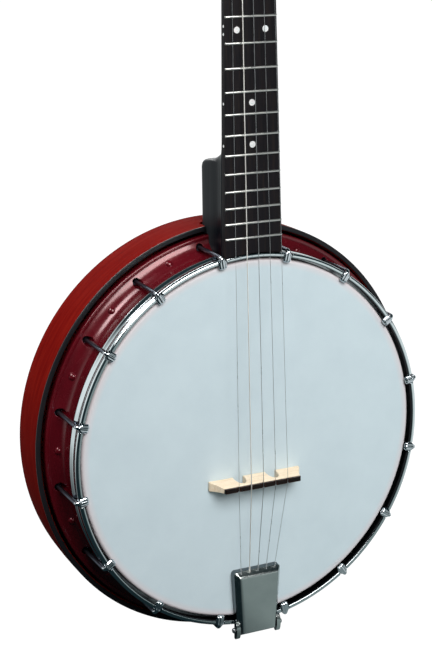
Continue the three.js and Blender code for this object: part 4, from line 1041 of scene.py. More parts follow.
def neck_ring(station):
    """The neck's ring: boxy with an undercut at the heel, slim above it, then a full round back."""
    heel = 1 - smoothstep(station, HEEL_TOP - 4, HEEL_TOP + 18)
    slim = 1 - smoothstep(station, 200, 300)
    centre = (treble_edge(station) + bass_edge(station)) / 2
    half = (treble_edge(station) - bass_edge(station)) / 2
    back = neck_back(station)

    def width(reach):
        undercut = math.exp(-((reach * (back - BOARD_THICKNESS) / 10) ** 2))
        boxy = lerp(min(HEEL_HALF, half), half, undercut) * fullness(reach, 14)
        shaft = half * lerp(fullness(reach, 2.3), (1 - reach ** 1.3) ** 0.6, slim)
        return lerp(shaft, boxy, heel)

    ring = wood_section(half, BOARD_THICKNESS, back, 0.35, width)
    return [NECK @ Vector((centre + x, y, station)) for x, y in ring]


PEGHEAD_EDGE = (
    bezier((15.8, 0), (17, 16), (30, 20), (30.5, 40), 16)
    + bezier((30.5, 40), (31, 62), (33, 84), (36, 112), 12)[1:]
    + bezier((36, 112), (38, 132), (33, 144), (21, 153), 16)[1:]
    + bezier((21, 153), (14.3, 153), (7.3, 157), (0.3, 165), 12)[1:]
)


def peghead_half(height):
    for (x0, y0), (x1, y1) in zip(PEGHEAD_EDGE, PEGHEAD_EDGE[1:]):
        if y0 <= height <= y1:
            return lerp(x0, x1, (height - y0) / max(TINY, y1 - y0))
    return PEGHEAD_EDGE[-1][0]


def peghead_ring(height):
    half = peghead_half(height)
    squareness = lerp(3, 14, smoothstep(height, 2, 34))
    edge = min(0.8, half * 0.4)
    ring = wood_section(half, 0, PEGHEAD_THICKNESS, edge, lambda reach: half * fullness(reach, squareness))
    return [PEGHEAD @ Vector((x, y, height)) for x, y in ring]


def pot_clearance():
    """Everything of the pot that the heel and the board stay clear of."""
    wall = POT_WALL + 0.4
    flange = FLANGE_RADIUS + 0.6
    hoop = HOOP_OUTER + 0.5
    profile = [(0, -30), (hoop, -30), (hoop, 12.4), (wall, 12.4), (wall, COVE_START - 1)]
    for turn in spread(0.26, 1.12, 6):
        radius, depth = on_cove(turn)
        profile.append((radius + 0.4 * math.cos(turn), depth - 0.4 * math.sin(turn)))
    profile += [(flange, FLANGE_FRONT - 0.5), (flange, 90), (0, 90)]
    return Part().turned(profile).mesh()


# Each tuner's name, side, height and offset on the peghead, and its string's index.
TUNERS = (
    ("fourth", -1, 48, 15, 1),
    ("third", -1, 102, 17, 2),
    ("second", 1, 102, 17, 3),
    ("first", 1, 48, 15, 4),
)


def make_neck():
    """Heel, shaft and peghead as one flowing piece of wood."""
    stations = spread(-12, 55, 16) + spread(57, 65, 17) + spread(65.1, 67, 8) + spread(68, 90, 18)
    stations += spread(96, 340, 26) + spread(344, 366, 16) + spread(374, NUT_STATION - 12, 12)
    stations += spread(NUT_STATION - 9, NUT_STATION + 4.8, 6)
    heights = spread(5, 40, 16) + spread(44, 112, 12) + spread(116, 150, 18) + spread(151, 153, 4)
    heights += spread(153.6, 164.6, 14)
    rings = [neck_ring(s) for s in stations] + [peghead_ring(h) for h in heights]
    wood = Part().rings(rings).mesh(Matrix())
    cutters = Part()
    for _, side, height, offset, _ in TUNERS:
        hole = [(0, -3), (5.5, -3), (5.0, 0.4), (5.0, 14), (5.5, 17), (0, 17)]
        cutters.turned(hole, 32, PEGHEAD @ Matrix.Translation((side * offset, 0, height)))
    peg_hole = [(PEG_SIDE + reach, PEG_HEIGHT, PEG_STATION) for reach in (-5, 11)]
    cutters.cylinder(4.3, *peg_hole, matrix=NECK)
    cutters.cylinder(ROD_HOLE, (0, ROD_DEPTH, POT_INNER), (0, ROD_DEPTH, 176), matrix=BANJO)
    wood = boolean(wood, cutters.mesh(Matrix()))
    wood = boolean(wood, pot_clearance())
    piece("neck_wood", wood, "banjo_frame", LACQUER, ["neck"], crease=38)


def make_board():
    """The fingerboard: a flat front with eased edges, cut to the pot's round at its end."""
    stations = spread(-8, 340, 30) + spread(345, 365, 21) + spread(375, NUT_STATION - 0.05, 12)
    rings = []
    for station in stations:
        bass, treble = bass_edge(station), treble_edge(station)
        high, edge, ease = BOARD_THICKNESS - 0.05, 0.45, 0.135
        ring = [
            (bass, high), (bass, edge), (bass + ease, ease), (bass + edge, 0),
            (treble - edge, 0), (treble - ease, ease), (treble, edge), (treble, high),
        ]
        rings.append([(x, y, station) for x, y in ring])
    board = boolean(Part().rings(rings).mesh(NECK), pot_clearance())
    piece("board", board, "banjo_frame", BOARD, ["fingerboard"], crease=40)
    frets = Part()
    for n in range(1, FRET_COUNT + 1):
        add_fret(frets, fret_station(n))
    piece("fret_wires", frets.mesh(NECK), "banjo_frame", FRET_METAL, crease=40)
    make_dots()


def behind_fret(n):
    """The middle of the space on the nut's side of a fret."""
    return (fret_station(n) + fret_station(n - 1)) / 2


def make_dots():
    """Pearl dots in the board's face and its bass edge: one in a space, and two at the twelfth."""
    dots, side_dots = Part(), Part()
    disc = bent([(0, 0.6, 0), (2.5, 0.6, 0), (2.5, -0.06, 0.05), (0, -0.06, 0)])
    for n in DOT_FRETS:
        station = behind_fret(n)
        middle = (treble_edge(station) + bass_edge(station)) / 2
        for offset in (-11.9, 11.9) if n == 12 else (0,):
            dots.turned(disc, 36, Matrix.Translation((middle + offset, 0, station)))
        for shift in (-3, 3) if n == 12 else (0,):
            spot = Vector((bass_edge(station + shift), 2.7, station + shift))
            side_dots.turned(pin_profile(1.1, 0.5, -0.05), 20, turn_to(spot, spot + Vector((5, 0, 0))))
    piece("pearl_dots", dots.mesh(NECK), "banjo_frame", PEARL, crease=40)
    piece("side_dots", side_dots.mesh(NECK), "banjo_frame", PEARL, crease=40)


def add_fret(part, station):
    """A half-round crown on its tang, with the ends filed back."""
    half_width = 0.95
    bass, treble = bass_edge(station) + 0.1, treble_edge(station) - 0.1
    filed = ((0, 0.42), (0.12, 0.62), (0.35, 0.84), (0.8, 1.0))
    ends = [(bass + inset, height) for inset, height in filed]
    ends += [(treble - inset, height) for inset, height in reversed(filed)]
    rings = []
    for x, height in ends:
        half = half_width * lerp(0.75, 1, height)
        arc = [(x, -height * math.sin(a), station + half * math.cos(a)) for a in spread(0, math.pi, 11)]
        rings.append([(x, 0.35, station + half)] + arc + [(x, 0.35, station - half)])
    part.rings(rings)


def make_nuts():
    """The bone nut with a round-bottomed slot for each string, and the fifth string's small nut."""
    bass, treble = bass_edge(NUT_STATION) + 0.1, treble_edge(NUT_STATION) - 0.1
    profile = rounded([
        (NUT_STATION + 0.05, BOARD_THICKNESS - 0.05, 0), (NUT_STATION + 0.05, -2.6, 0.5),
        (PEGHEAD_START, -1.6, 1.4), (PEGHEAD_START, BOARD_THICKNESS - 0.05, 0),
    ])
    body = Part().plate([(y, station) for station, y in profile], (bass, treble), "x").mesh(NECK)
    cutters = Part()
    for x in NUT_STRING_X:
        slot = rounded([(x - 0.45, -4, 0), (x - 0.42, -1.35, 0.4), (x + 0.42, -1.35, 0.4), (x + 0.45, -4, 0)])
        cutters.plate(slot, (NUT_STATION - 2, PEGHEAD_START + 2), "z")
    body = boolean(body, cutters.mesh(NECK))
    piece("nut", body, "banjo_frame", BONE, ["string_nut"], crease=35, bevel=0.2)
    pip = bent([(0, -0.1, 0), (1.5, -0.1, 0.1), (1.5, -1.4, 0.4), (0, -1.4, 0)])
    pip = Part().turned(pip, 32, Matrix.Translation((FIFTH_STRING_X, 0, FIFTH_NUT_STATION)))
    piece("fifth_nut", pip.mesh(NECK), "banjo_frame", BONE, ["fifth_string_nut"])


def make_truss_cover():
    """The plate over the truss rod's end, with three slotted screws."""
    half = bezier((8.5, 1), (9, 12), (6.5, 22), (0.4, 31.6), 14)
    outline = half + [(-x, z) for x, z in reversed(half)]
    mesh = Part().plate(outline, (-1.8, -0.05)).mesh(PEGHEAD)
    piece("rod_cover", mesh, "banjo_frame", COVER_BLACK, ["truss_rod_cover"], bevel=0.4)
    screws, slots = Part(), Part()
    head = bent([(0, -1.7, 0), (1.5, -1.7, 0.1), (1.5, -2.1, 0.3), (0, -2.5, 0)])
    for x, z in ((5.6, 4.5), (-5.6, 4.5), (0, 24.5)):
        screws.turned(head, 24, Matrix.Translation((x, 0, z)))
        slots.box((x - 1.1, x + 1.1), (-3.2, -2.1), (z - 0.2, z + 0.2))
    mesh = boolean(screws.mesh(PEGHEAD), slots.mesh(PEGHEAD))
    piece("cover_screws", mesh, "banjo_frame", CHROME, crease=30)


# --------------------------------------------------------------------- tuners

WORM_OFFSET = 6.3
GEAR_HEIGHT = 4.4
KNOB_START = 19
WHEEL_TEETH = 14


def knob(start, centre):
    """An oval finger button along x, waisted where it meets its ferrule."""
    rings = []
    length, tall, thick, sides = 16.6, 6.6, 3.8, 32
    for t in spread(0, 1, 22):
        a = math.pi * t
        swell = math.sin(a) ** 0.62 if 0 < t < 1 else 0.04
        swell *= lerp(0.62, 1, smoothstep(t, 0.0, 0.35))
        x = start + length * (1 - math.cos(a)) / 2
        ring = []
        for k in range(sides):
            b = 2 * math.pi * k / sides
            y = thick * swell * math.copysign(abs(math.sin(b)) ** 0.9, math.sin(b))
            ring.append((x, centre[0] + y, centre[1] + tall * swell * math.cos(b)))
        rings.append(ring)
    return Part().rings(rings)


def make_case(name, place):
    """The closed cast housing, bored for the post and the shaft."""
    outline = rounded([(-8, -5.8, 3.4), (9, -5.8, 2.0), (9, 9.8, 2.0), (-8, 9.8, 3.4)], steps=6)
    lid = rounded([(-6.9, -4.7, 2.6), (7.9, -4.7, 1.4), (7.9, 8.7, 1.4), (-6.9, 8.7, 2.6)], steps=6)
    heights = ((0.3, outline), (7.0, outline), (7.9, lid), (8.6, lid))
    case = Part().rings([[(x, y, z) for x, z in shape] for y, shape in heights])
    bores = Part().turned(pin_profile(3.3, -1, 7.2), 32)
    bores.cylinder(2.3, (0, GEAR_HEIGHT, WORM_OFFSET), (13, GEAR_HEIGHT, WORM_OFFSET), 28)
    mesh = boolean(case.mesh(place), bores.mesh(place))
    nodes = [f"tuner_housing_{name}"]
    piece(f"tuner_case_{name}", mesh, "banjo_frame", CHROME, nodes, crease=32, bevel=0.35)


def make_collar(name, place, front):
    """The sleeve through the peghead, its washer and nut in front, and the housing's screw behind."""
    collar = Part().turned([(3.35, 0.2), (4.6, 0.2), (4.6, front - 0.1), (3.35, front - 0.1)], 40)
    low, high = front - 0.15, front - 0.75
    collar.turned(rounded([(3.4, low, 0.1), (7.0, low, 0.15), (6.8, high, 0.3), (3.4, high, 0.1)]), 48)
    nut = [
        (3.35, front - 0.8), (5.7, front - 0.8), (6.1, front - 1.2), (6.0, front - 2.3), (5.3, front - 2.9),
        (3.9, front - 3.0), (3.35, front - 2.7),
    ]
    collar.turned(nut, 6)
    screw = bent([(0, 8.4, 0), (1.9, 8.4, 0.1), (1.9, 9.0, 0.4), (0, 9.2, 0)])
    collar.turned(screw, 28, Matrix.Translation((-3.4, 0, -1.2)))
    piece(f"tuner_collar_{name}", collar.mesh(place), "banjo_frame", CHROME, crease=30)


def make_button(name, place):
    """The shaft with its worm and ferrule, and the knob on its end."""
    points = [(x, GEAR_HEIGHT, WORM_OFFSET) for x in spread(-5.8, 20, 60)]

    def worm(i, angle):
        x = points[i][0]
        radius = 1.9 if x > 5 else 1.45 + 0.45 * math.cos(2 * math.pi * x / 1.6 - angle)
        return radius * math.cos(angle), radius * math.sin(angle)

    shaft = Part().tube(points, worm, sides=24, up=(0, 1, 0))
    ferrule = bent([
        (0, 15.2, 0), (2.7, 15.2, 0.3), (3.2, 17, 0.8), (4.1, 18.9, 0.5), (4.1, 19.6, 0.3), (0, 19.6, 0),
    ])
    shaft.turned(ferrule, 40, turn_to((0, GEAR_HEIGHT, WORM_OFFSET), (1, GEAR_HEIGHT, WORM_OFFSET)))
    body = f"tuner_button_{name}"
    piece(f"tuner_shaft_{name}", shaft.mesh(place), body, CHROME, [body], crease=40)
    button = knob(KNOB_START, (GEAR_HEIGHT, WORM_OFFSET))
    piece(f"tuner_knob_{name}", button.mesh(place), body, PEARLOID, crease=50)


def make_post(name, place, front):
    """The string post with its string hole, its worm wheel, and a few turns of string."""
    body = f"tuner_post_{name}"
    profile = bent([
        (0, GEAR_HEIGHT, 0), (2.95, GEAR_HEIGHT, 0.1), (2.95, front - 5.6, 0.6), (2.35, front - 7, 1.0),
        (2.2, front - 10, 1.0), (2.35, front - 12.6, 1.0), (3.0, front - 14.4, 0.6), (3.0, front - 18.2, 0.8),
        (1.6, front - 19, 0.4), (0, front - 19, 0),
    ])
    depth = front - 9.6
    hole = Part().cylinder(0.75, (0, depth, -5), (0, depth, 5), 20)
    mesh = boolean(Part().turned(profile, 48).mesh(place), hole.mesh(place))
    piece(f"tuner_post_piece_{name}", mesh, body, CHROME, [body], crease=40)
    outline = []
    for a in spread(0, 2 * math.pi, WHEEL_TEETH * 6 + 1)[:-1]:
        radius = 3.55 + 0.35 * max(-1, min(1, 1.8 * math.cos(a * WHEEL_TEETH)))
        outline.append((radius * math.sin(a), radius * math.cos(a)))
    wheel = Part().plate(outline, (GEAR_HEIGHT - 1.5, GEAR_HEIGHT + 1.5))
    piece(f"tuner_wheel_{name}", wheel.mesh(place), body, STEEL, crease=40)
    gauge, turns = 0.3 if name == "fourth" else 0.22, 4
    points = []
    for t in spread(0, turns, turns * 24):
        a = 2 * math.pi * t
        radius = 2.42 + gauge
        points.append((radius * math.sin(a), front - 8 - t * (2 * gauge + 0.05), radius * math.cos(a)))
    coil = Part().tube(points, round_section(gauge), sides=8, up=(0, 1, 0)).mesh(place)
    piece(f"tuner_winding_{name}", coil, body, string_metal(name), crease=60)


def string_metal(name):
    """Only the lowest string is wound."""
    return WOUND if name == "fourth" else STRING_METAL


def make_tuner(name, side, height, offset):
    """A closed worm tuner; the ones on the bass side are turned half round."""
    place = PEGHEAD @ Matrix.Translation((side * offset, PEGHEAD_THICKNESS, height))
    if side < 0:
        place = place @ Matrix.Rotation(math.pi, 4, "Y")
    make_case(name, place)
    make_collar(name, place, -PEGHEAD_THICKNESS)
    make_button(name, place)
    make_post(name, place, -PEGHEAD_THICKNESS)


def make_fifth_peg():
    """The fifth string's geared peg in the side of the neck."""
    axis = turn_to((PEG_SIDE, PEG_HEIGHT, PEG_STATION), (PEG_SIDE - 10, PEG_HEIGHT, PEG_STATION))
    base = rounded([
        (2.15, -9, 0), (4.0, -9, 0.4), (4.0, 0.45, 0.1), (5.4, 0.45, 0.3), (5.4, 1.2, 0.4), (4.6, 2.0, 0.4),
        (2.15, 2.0, 0.2),
    ])
    mesh = Part().turned(base, 56, axis).mesh(NECK)
    piece("peg_base", mesh, "banjo_frame", CHROME, ["fifth_peg_base"], crease=40)
    spool = bent([
        (0, -8.5, 0), (1.8, -8.5, 0.2), (1.8, 2.35, 0.1), (2.9, 2.35, 0.2), (2.4, 3.6, 0.6), (2.4, 7.4, 0.6),
        (3.1, 8.7, 0.3), (5.9, 9.0, 0.4), (5.9, 10.4, 0.5), (5.4, 16.2, 0.6), (2.6, 16.5, 0.4),
        (2.6, 18.6, 0.3), (0, 18.6, 0),
    ])
    part = Part().turned(spool, 56, axis)
    knurls = 40
    band = []
    for a in spread(0, 2 * math.pi, knurls * 4 + 1)[:-1]:
        radius = 6.0 + 0.16 * math.cos(a * knurls)
        band.append((radius * math.sin(a), radius * math.cos(a)))
    part.plate(band, (11.0, 13.6), matrix=axis)
    piece("peg_spool", part.mesh(NECK), "fifth_peg", CHROME, ["fifth_peg"], crease=35)
    swivel = Matrix.Translation((PEG_SIDE, PEG_HEIGHT, PEG_STATION)) @ Matrix.Rotation(math.pi, 4, "Y")
    piece("peg_knob", knob(18.2, (0, 0)).mesh(NECK @ swivel), "fifth_peg", PEARLOID, crease=50)


# --------------------------------------------------------------------- bridge


def bridge_x(i):
    """Where a string crosses the bridge; the fifth string is 0 and the first is 4."""
    return BRIDGE_X + (i - 2) * BRIDGE_SPACING


def tail_x(i):
    """Where a string's stud stands under the tailpiece's cover."""
    return TAIL_X + (i - 2) * TAIL_SPACING


def make_bridge():
    """A three-footed maple bridge with a dark cap, notched for the strings."""
    foot, top, inner, gap, bulge = 38.5, 32.3, 9.5, 8.5, 1.4
    outer = inner + gap
    pull = 11.3 * 4 / 3
    right = [(inner, 0.15)]
    right += bezier(right[0], (inner - bulge, pull), (outer + bulge, pull), (outer, 0.15), 22)[1:]
    right += bent([(outer, 0.15, 0), (foot, 0.15, 0.4), (foot, 2.2, 0.6), (foot - 1.2, 4, 0)])[1:-1]
    right += bezier((foot - 0.7, 3.2), (foot - 3.2, 6.2), (foot - 4.6, 9.4), (top, 14.9), 12)
    outline = right + [(-x, h) for x, h in reversed(right)]
    rings = []
    for side in (-1, 1):
        rings.append([(BRIDGE_X + x, -h, BRIDGE_Z + side * lerp(3.6, 1.8, h / 15)) for x, h in outline])
    body = Part().rings(rings).mesh()
    piece("bridge_wood", body, "bridge", MAPLE, ["bridge"], crease=30, bevel=0.3)
    cap = rounded([(-top, 15.1, 0.1), (top, 15.1, 0.1), (top - 0.2, 17.2, 1.2), (-top + 0.2, 17.2, 1.2)])
    cap = [(BRIDGE_X + x, -h) for x, h in cap]
    cap = Part().plate(cap, (BRIDGE_Z - 1.75, BRIDGE_Z + 1.75), "z").mesh()
    cutters = Part()
    for i in range(STRING_COUNT):
        x = bridge_x(i)
        low = -15.7
        notch = rounded([(x - 1, -18.5, 0), (x - 0.85, low, 0.5), (x + 0.85, low, 0.5), (x + 1, -18.5, 0)])
        cutters.plate(notch, (BRIDGE_Z - 3, BRIDGE_Z + 3), "z")
    cap = boolean(cap, cutters.mesh())
    piece("bridge_top", cap, "bridge", EBONY, ["bridge_cap"], crease=30, bevel=0.25)


# ------------------------------------------------------------------ tailpiece


def cover_outline(inset, corner, end_inset=None):
    """The cover's tapering outline, moved in by inset and with rounded corners."""
    end_inset = inset if end_inset is None else end_inset
    top_z, end_z = COVER_TOP_Z - end_inset, COVER_END_Z + end_inset * 0.6
    slope = (COVER_TOP_HALF - COVER_END_HALF) / (COVER_TOP_Z - COVER_END_Z)
    top = COVER_TOP_HALF - inset
    end = top - slope * (top_z - end_z)
    corners = [(-top, top_z, corner), (top, top_z, corner), (end, end_z, corner), (-end, end_z, corner)]
    return [(TAIL_X + x, z) for x, z in rounded(corners, steps=8)]


def pin_bore():
    """What the hinge pin's hole takes out."""
    return Part().cylinder(PIN_HOLE, (-25, PIN_DEPTH, PIN_Z), (25, PIN_DEPTH, PIN_Z), 28)


def make_tail_cover():
    """The hinged cover of pressed sheet: sides, a broad chamfer, a flat raised face, and two ears."""
    sheet = 1.1
    outside = [
        (-0.9, 0.0, 2.4), (-5.2, 0.15, 2.4), (-5.7, 0.3, 2.4), (-6.1, 0.75, 2.3), (-8.6, 2.9, 1.5),
        (-9.1, 3.3, 1.3), (-9.4, 3.9, 1.1), (-9.4, 6.5, 0.8),
    ]
    inside = [
        (depth + (sheet if k else 0), inset + sheet, max(0.6, corner - sheet * 0.6))
        for k, (depth, inset, corner) in enumerate(outside[:-1])
    ]
    rings = []
    for depth, inset, corner in inside[::-1] + outside:
        rings.append([(x, depth, z) for x, z in cover_outline(inset, corner)])
    cover = Part().rings(rings).mesh()
    lobe = [(-5.4 + 3.6 * math.sin(a), PIN_Z + 7 * math.cos(a)) for a in spread(0, 2 * math.pi, 41)[:-1]]
    ears = Part()
    for side in (-1, 1):
        ears.plate(lobe, [TAIL_X + side * x for x in (15.6, 18.8)], "x")
    cover = boolean(cover, ears.mesh(), "UNION")
    low = COVER_END_Z - 8
    under = Part().plate([(1, low), (-3.9, low), (-3.9, -136), (1, -136)], (-24, 25), "x")
    cover = boolean(cover, under.mesh())
    cover = boolean(cover, pin_bore().mesh())
    piece("tail_cover", cover, "tailpiece_cover", TAIL_CHROME, ["tailpiece_cover"], crease=34)


def make_tail_pin():
    """The hinge pin with a rounded button on each end."""
    reach = 20
    half = bent([
        (1.1, 0, 0), (1.1, reach - 0.7, 0), (2.0, reach - 0.7, 0.2), (2.0, reach + 0.1, 0.3),
        (1.5, reach + 0.9, 0.5), (0, reach + 0.9, 0),
    ])[1:]
    profile = [(radius, -along) for radius, along in reversed(half)] + half
    middle = turn_to((TAIL_X, PIN_DEPTH, PIN_Z), (TAIL_X + 1, PIN_DEPTH, PIN_Z))
    pin = Part().turned(profile, 32, middle).mesh()
    piece("tail_pin", pin, "banjo_frame", STEEL, ["tailpiece_pin"])


def make_tail_base():
    """The plate under the cover, with its leg, knuckle and studs."""
    outline = [(x, max(z, -147.6)) for x, z in cover_outline(1.9, 1.0, 2.2)]
    base = Part().plate(outline, (-5.4, -4)).mesh()
    leg = rounded([(-8, -4.3, 1), (8, -4.3, 1), (8, 24, 5), (4, 28, 2), (-4, 28, 2), (-8, 24, 5)])
    base = boolean(base, Part().plate(leg, (-149.8, -148.4), "z").mesh(), "UNION")
    knuckle = bent([(0, 0, 0), (2.4, 0, 0.3), (2.4, 27.8, 0.3), (0, 27.8, 0)])
    axis = turn_to((TAIL_X - 13.9, PIN_DEPTH, PIN_Z), (TAIL_X + 13.9, PIN_DEPTH, PIN_Z))
    base = boolean(base, Part().turned(knuckle, 32, axis).mesh(), "UNION")
    stud = bent([(0, -4.6, 0), (1.1, -4.6, 0), (1.0, -7.0, 0.4), (1.3, -7.5, 0.2), (0, -7.6, 0)])
    studs = Part()
    for i in range(STRING_COUNT):
        studs.turned(stud, 24, Matrix.Translation((tail_x(i), 0, TAIL_STRING_Z - STUD_DROP)))
    base = boolean(base, studs.mesh(), "UNION")
    holes = pin_bore().cylinder(4.4, (0, ROD_DEPTH, -151), (0, ROD_DEPTH, -147))
    base = boolean(base, holes.mesh())
    piece("tail_base", base, "banjo_frame", CHROME, ["tailpiece_base"], crease=34)


# -------------------------------------------------------------------- strings

# From the fifth string to the first.
STRING_GAUGES = (0.34, 0.80, 0.50, 0.40, 0.34)


def tail_end(i):
    return Vector((tail_x(i), TAIL_STRING_DEPTH, TAIL_STRING_Z))


def over_bridge(i):
    return Vector((bridge_x(i), STRING_DEPTH, BRIDGE_Z))


def in_banjo(matrix, point):
    """A point of the neck or the peghead in the banjo's own millimetres."""
    return BANJO.inverted() @ (matrix @ Vector(point))


def eased(points, radius=1.6):
    """The line with each corner eased, so that a string bends rather than folds."""
    path = [points[0]]
    for before, corner, after in zip(points, points[1:], points[2:]):
        start = corner - (corner - before).normalized() * radius
        end = corner + (after - corner).normalized() * radius
        for t in spread(0, 1, 5):
            path.append(start.lerp(corner, t).lerp(corner.lerp(end, t), t))
    return path + [points[-1]]


def make_string(number, points, material):
    """One string, with its twisted loop round the tailpiece's stud."""
    radius = STRING_GAUGES[STRING_COUNT - number] / 2
    part = Part().tube(eased(points), round_section(radius), sides=10)
    start = points[0]
    along = (points[1] - start).normalized()
    twist = []
    for t in spread(0, 1, 40):
        a = 2 * math.pi * 5 * t
        side = Vector((math.cos(a), math.sin(a), 0)) * (radius + 0.22)
        twist.append(start + along * (1.2 + 6.5 * t) + side)
    part.tube(twist, round_section(0.17), sides=6)
    stud = start - Vector((0, 0, STUD_DROP))
    path = [start + along]
    path += [stud + 1.45 * Vector((math.sin(a), 0, math.cos(a))) for a in spread(0.5, 2 * math.pi - 0.5, 20)]
    path.append(start + along)
    part.tube(path, round_section(0.2), sides=6, up=(0, 1, 0))
    name = f"string_wire_{number}"
    piece(name, part.mesh(), "banjo_frame", material, [f"string_{number}"], crease=60)


def make_strings():
    """Each string runs from its stud over the bridge and its nut, and ends beside its post."""
    for name, side, height, offset, index in TUNERS:
        x = NUT_STRING_X[index - 1]
        points = [
            tail_end(index),
            over_bridge(index),
            in_banjo(NECK, (x, -NUT_STRING_HEIGHT, NUT_STATION + 0.2)),
            in_banjo(NECK, (x, -NUT_STRING_HEIGHT + 0.4, PEGHEAD_START + 0.4)),
            in_banjo(PEGHEAD, (side * (offset - 3.4), -8.1, height)),
        ]
        make_string(STRING_COUNT - index, points, string_metal(name))
    points = [
        tail_end(0),
        over_bridge(0),
        in_banjo(NECK, (FIFTH_STRING_X, -NUT_STRING_HEIGHT, FIFTH_NUT_STATION)),
        in_banjo(NECK, (PEG_SIDE - 1.2, -0.7, FIFTH_NUT_STATION + 5)),
        in_banjo(NECK, (PEG_SIDE - 5.5, PEG_HEIGHT - 2.8, PEG_STATION)),
    ]
    make_string(STRING_COUNT, points, STRING_METAL)


# ---------------------------------------------------------------------- stage


def add_node(tree, kind, **values):
    """A node with some of its inputs set; underscores stand for spaces in their names."""
    made = tree.nodes.new(kind)
    for socket, value in values.items():
        made.inputs[socket.replace("_", " ")].default_value = value
    return made


def mix_shaders(tree, factor, first, second):
    """Mixes two shaders by a number or a socket."""
    mix = tree.nodes.new("ShaderNodeMixShader")
    if isinstance(factor, float):
        mix.inputs["Fac"].default_value = factor
    else:
        tree.links.new(factor, mix.inputs["Fac"])
    tree.links.new(first, mix.inputs[1])
    tree.links.new(second, mix.inputs[2])
    return mix.outputs[0]


def make_floor():
    """A pale floor at the banjo's lowest point: white to the camera, and to all other rays it glows in dark
    and pale patches, as painted reflection.
    """
    low, size = cad_box[0].z - 0.001, 14
    mesh = bpy.data.meshes.new("floor")
    corners = [(-size, -size, low), (size, -size, low), (size, size, low), (-size, size, low)]
    mesh.from_pydata(corners, [], [(0, 1, 2, 3)])
    look = Look("floor_paper", (0.86, 0.86, 0.86), 0.9)
    white = add_node(look.tree, "ShaderNodeEmission", Color=(1, 1, 1, 1), Strength=1.12)
    place = look.axes()
    # painted reflection: for reflected and bounced rays the floor glows in these patches
    bright = (0.75, 0.8, 0.8)
    front = look.mix(look.grey(place["X"], -0.03, 0.03, (0, 1)), (0.010, 0.022, 0.026), (0.24, 0.29, 0.29))
    reflected = look.mix(look.grey(place["Y"], 0.05, 0.5, (0, 1)), front, bright)
    reflected = look.mix(look.grey(place["X"], 0.22, 0.42, (0, 1)), reflected, bright)
    dim = look.node("ShaderNodeEmission")
    look.link(reflected, dim.inputs["Color"])
    seen = mix_shaders(look.tree, 0.9, look.surface.outputs[0], white.outputs[0])
    to_camera = look.node("ShaderNodeLightPath").outputs["Is Camera Ray"]
    surface = mix_shaders(look.tree, to_camera, dim.outputs[0], seen)
    look.link(surface, look.tree.nodes["Material Output"].inputs["Surface"])
    mesh.materials.append(look.material)
    new_object("floor", mesh)


def make_world():
    """Soft studio surroundings: white to the camera, a low white sweep behind, and dim elsewhere."""
    world = bpy.data.worlds.new("studio")
    bpy.context.scene.world = world
    world.use_nodes = True
    tree = world.node_tree
    tree.nodes.clear()

    def background(*colour):
        return add_node(tree, "ShaderNodeBackground", Color=(*colour, 1)).outputs[0]

    axes = add_node(tree, "ShaderNodeSeparateXYZ")
    tree.links.new(add_node(tree, "ShaderNodeTexCoord").outputs["Generated"], axes.inputs[0])
    behind = add_node(tree, "ShaderNodeMapRange", From_Min=0.1, From_Max=0.6)
    low = add_node(tree, "ShaderNodeMapRange", From_Min=0.6, From_Max=0.3)
    tree.links.new(axes.outputs["Y"], behind.inputs["Value"])
    tree.links.new(axes.outputs["Z"], low.inputs["Value"])
    sweep = add_node(tree, "ShaderNodeMath")
    sweep.operation = "MULTIPLY"
    tree.links.new(behind.outputs["Result"], sweep.inputs[0])
    tree.links.new(low.outputs["Result"], sweep.inputs[1])
    room = mix_shaders(tree, sweep.outputs[0], background(0.018, 0.035, 0.04), background(0.9, 0.95, 0.95))
    rays = add_node(tree, "ShaderNodeLightPath").outputs
    seen = mix_shaders(tree, rays["Is Glossy Ray"], background(0.1, 0.1, 0.105), room)
    seen = mix_shaders(tree, rays["Is Camera Ray"], seen, background(1, 1, 1))
    tree.links.new(seen, add_node(tree, "ShaderNodeOutputWorld").inputs["Surface"])


# The middle of the pot, in the frame's metres.
LIGHT_TARGET = Vector((0, -0.05, 0.05))


def add_light(name, place, size, power, colour=(1, 1, 1), diffuse=1.0):
    """An unseen rectangular light that faces the pot."""
    data = bpy.data.lights.new(name, "AREA")
    data.shape = "RECTANGLE"
    data.size, data.size_y = size
    data.energy = power
    data.color = colour
    data.diffuse_factor = diffuse
    light = new_object(name, data)
    light.location = place
    light.rotation_euler = (LIGHT_TARGET - Vector(place)).to_track_quat("-Z", "Y").to_euler()
    light.visible_camera = False


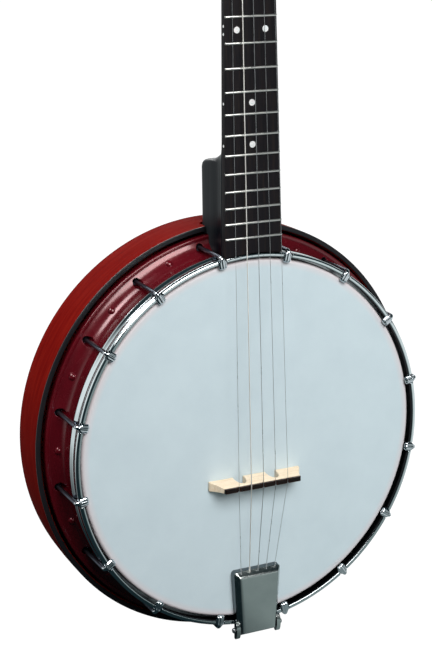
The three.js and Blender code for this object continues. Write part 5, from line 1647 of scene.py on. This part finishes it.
def make_lights():
    add_light("key_softbox", (-0.1, -2.2, 1.65), (1.8, 1.4), 84, (1.0, 0.995, 0.98))
    add_light("left_softbox", (-1.25, 0.1, 1.6), (0.7, 0.9), 26, diffuse=0.8)
    add_light("back_panel", (0.1, 2.05, 0.85), (1.6, 0.6), 20, diffuse=0.05)


# The viewpoint, its shifted lens, and the aim, in the frame's metres.
VIEW_PLACE = (-0.5706, -1.2098, 0.4438)
VIEW_AIM = (0.4377, 0.8918, -0.1141)
VIEW_ROLL = math.radians(-0.13)
VIEW_LENS = 94.48
VIEW_SHIFT = {"shift_x": -0.0165, "shift_y": -0.4256}


def make_camera():
    """The photo's camera. Its lens shift holds only at this viewpoint, so other views stay centred."""
    data = bpy.data.cameras.new("camera")
    data.sensor_width = 36
    data.lens = VIEW_LENS
    data.clip_start, data.clip_end = 0.05, 60
    camera = new_object("camera", data)
    camera.location = VIEW_PLACE
    turn = Vector(VIEW_AIM).to_track_quat("-Z", "Y").to_matrix().to_4x4() @ Matrix.Rotation(VIEW_ROLL, 4, "Z")
    camera.rotation_mode = "QUATERNION"
    camera.rotation_quaternion = turn.to_quaternion()
    spot = new_object("viewpoint", None)
    spot.location = VIEW_PLACE
    for socket, shift in VIEW_SHIFT.items():
        shift_near(data, socket, shift, camera, spot)
    bpy.context.scene.camera = camera


def shift_near(data, socket, shift, camera, spot):
    """Drives a lens shift by a curve that falls to nothing as the camera leaves its spot."""
    curve = data.driver_add(socket)
    for modifier in list(curve.modifiers):
        curve.modifiers.remove(modifier)
    curve.driver.type = "AVERAGE"
    away = curve.driver.variables.new()
    away.type = "LOC_DIFF"
    away.targets[0].id = camera
    away.targets[1].id = spot
    for distance, value in ((0, shift), (0.05, 0)):
        curve.keyframe_points.insert(distance, value).interpolation = "CONSTANT"


make_pot()
make_head()
make_hoop()
make_hooks()
make_resonator()
make_rod()
make_neck()
make_board()
make_nuts()
make_truss_cover()
for tuner in TUNERS:
    make_tuner(*tuner[:4])
make_fifth_peg()
make_bridge()
make_tail_cover()
make_tail_pin()
make_tail_base()
make_strings()

truss_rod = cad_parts["truss_rod"]
truss_rod.data.materials.clear()
truss_rod.data.materials.append(STEEL)

make_floor()
make_world()
make_lights()
make_camera()
bpy.context.scene.view_settings.view_transform = "Standard"
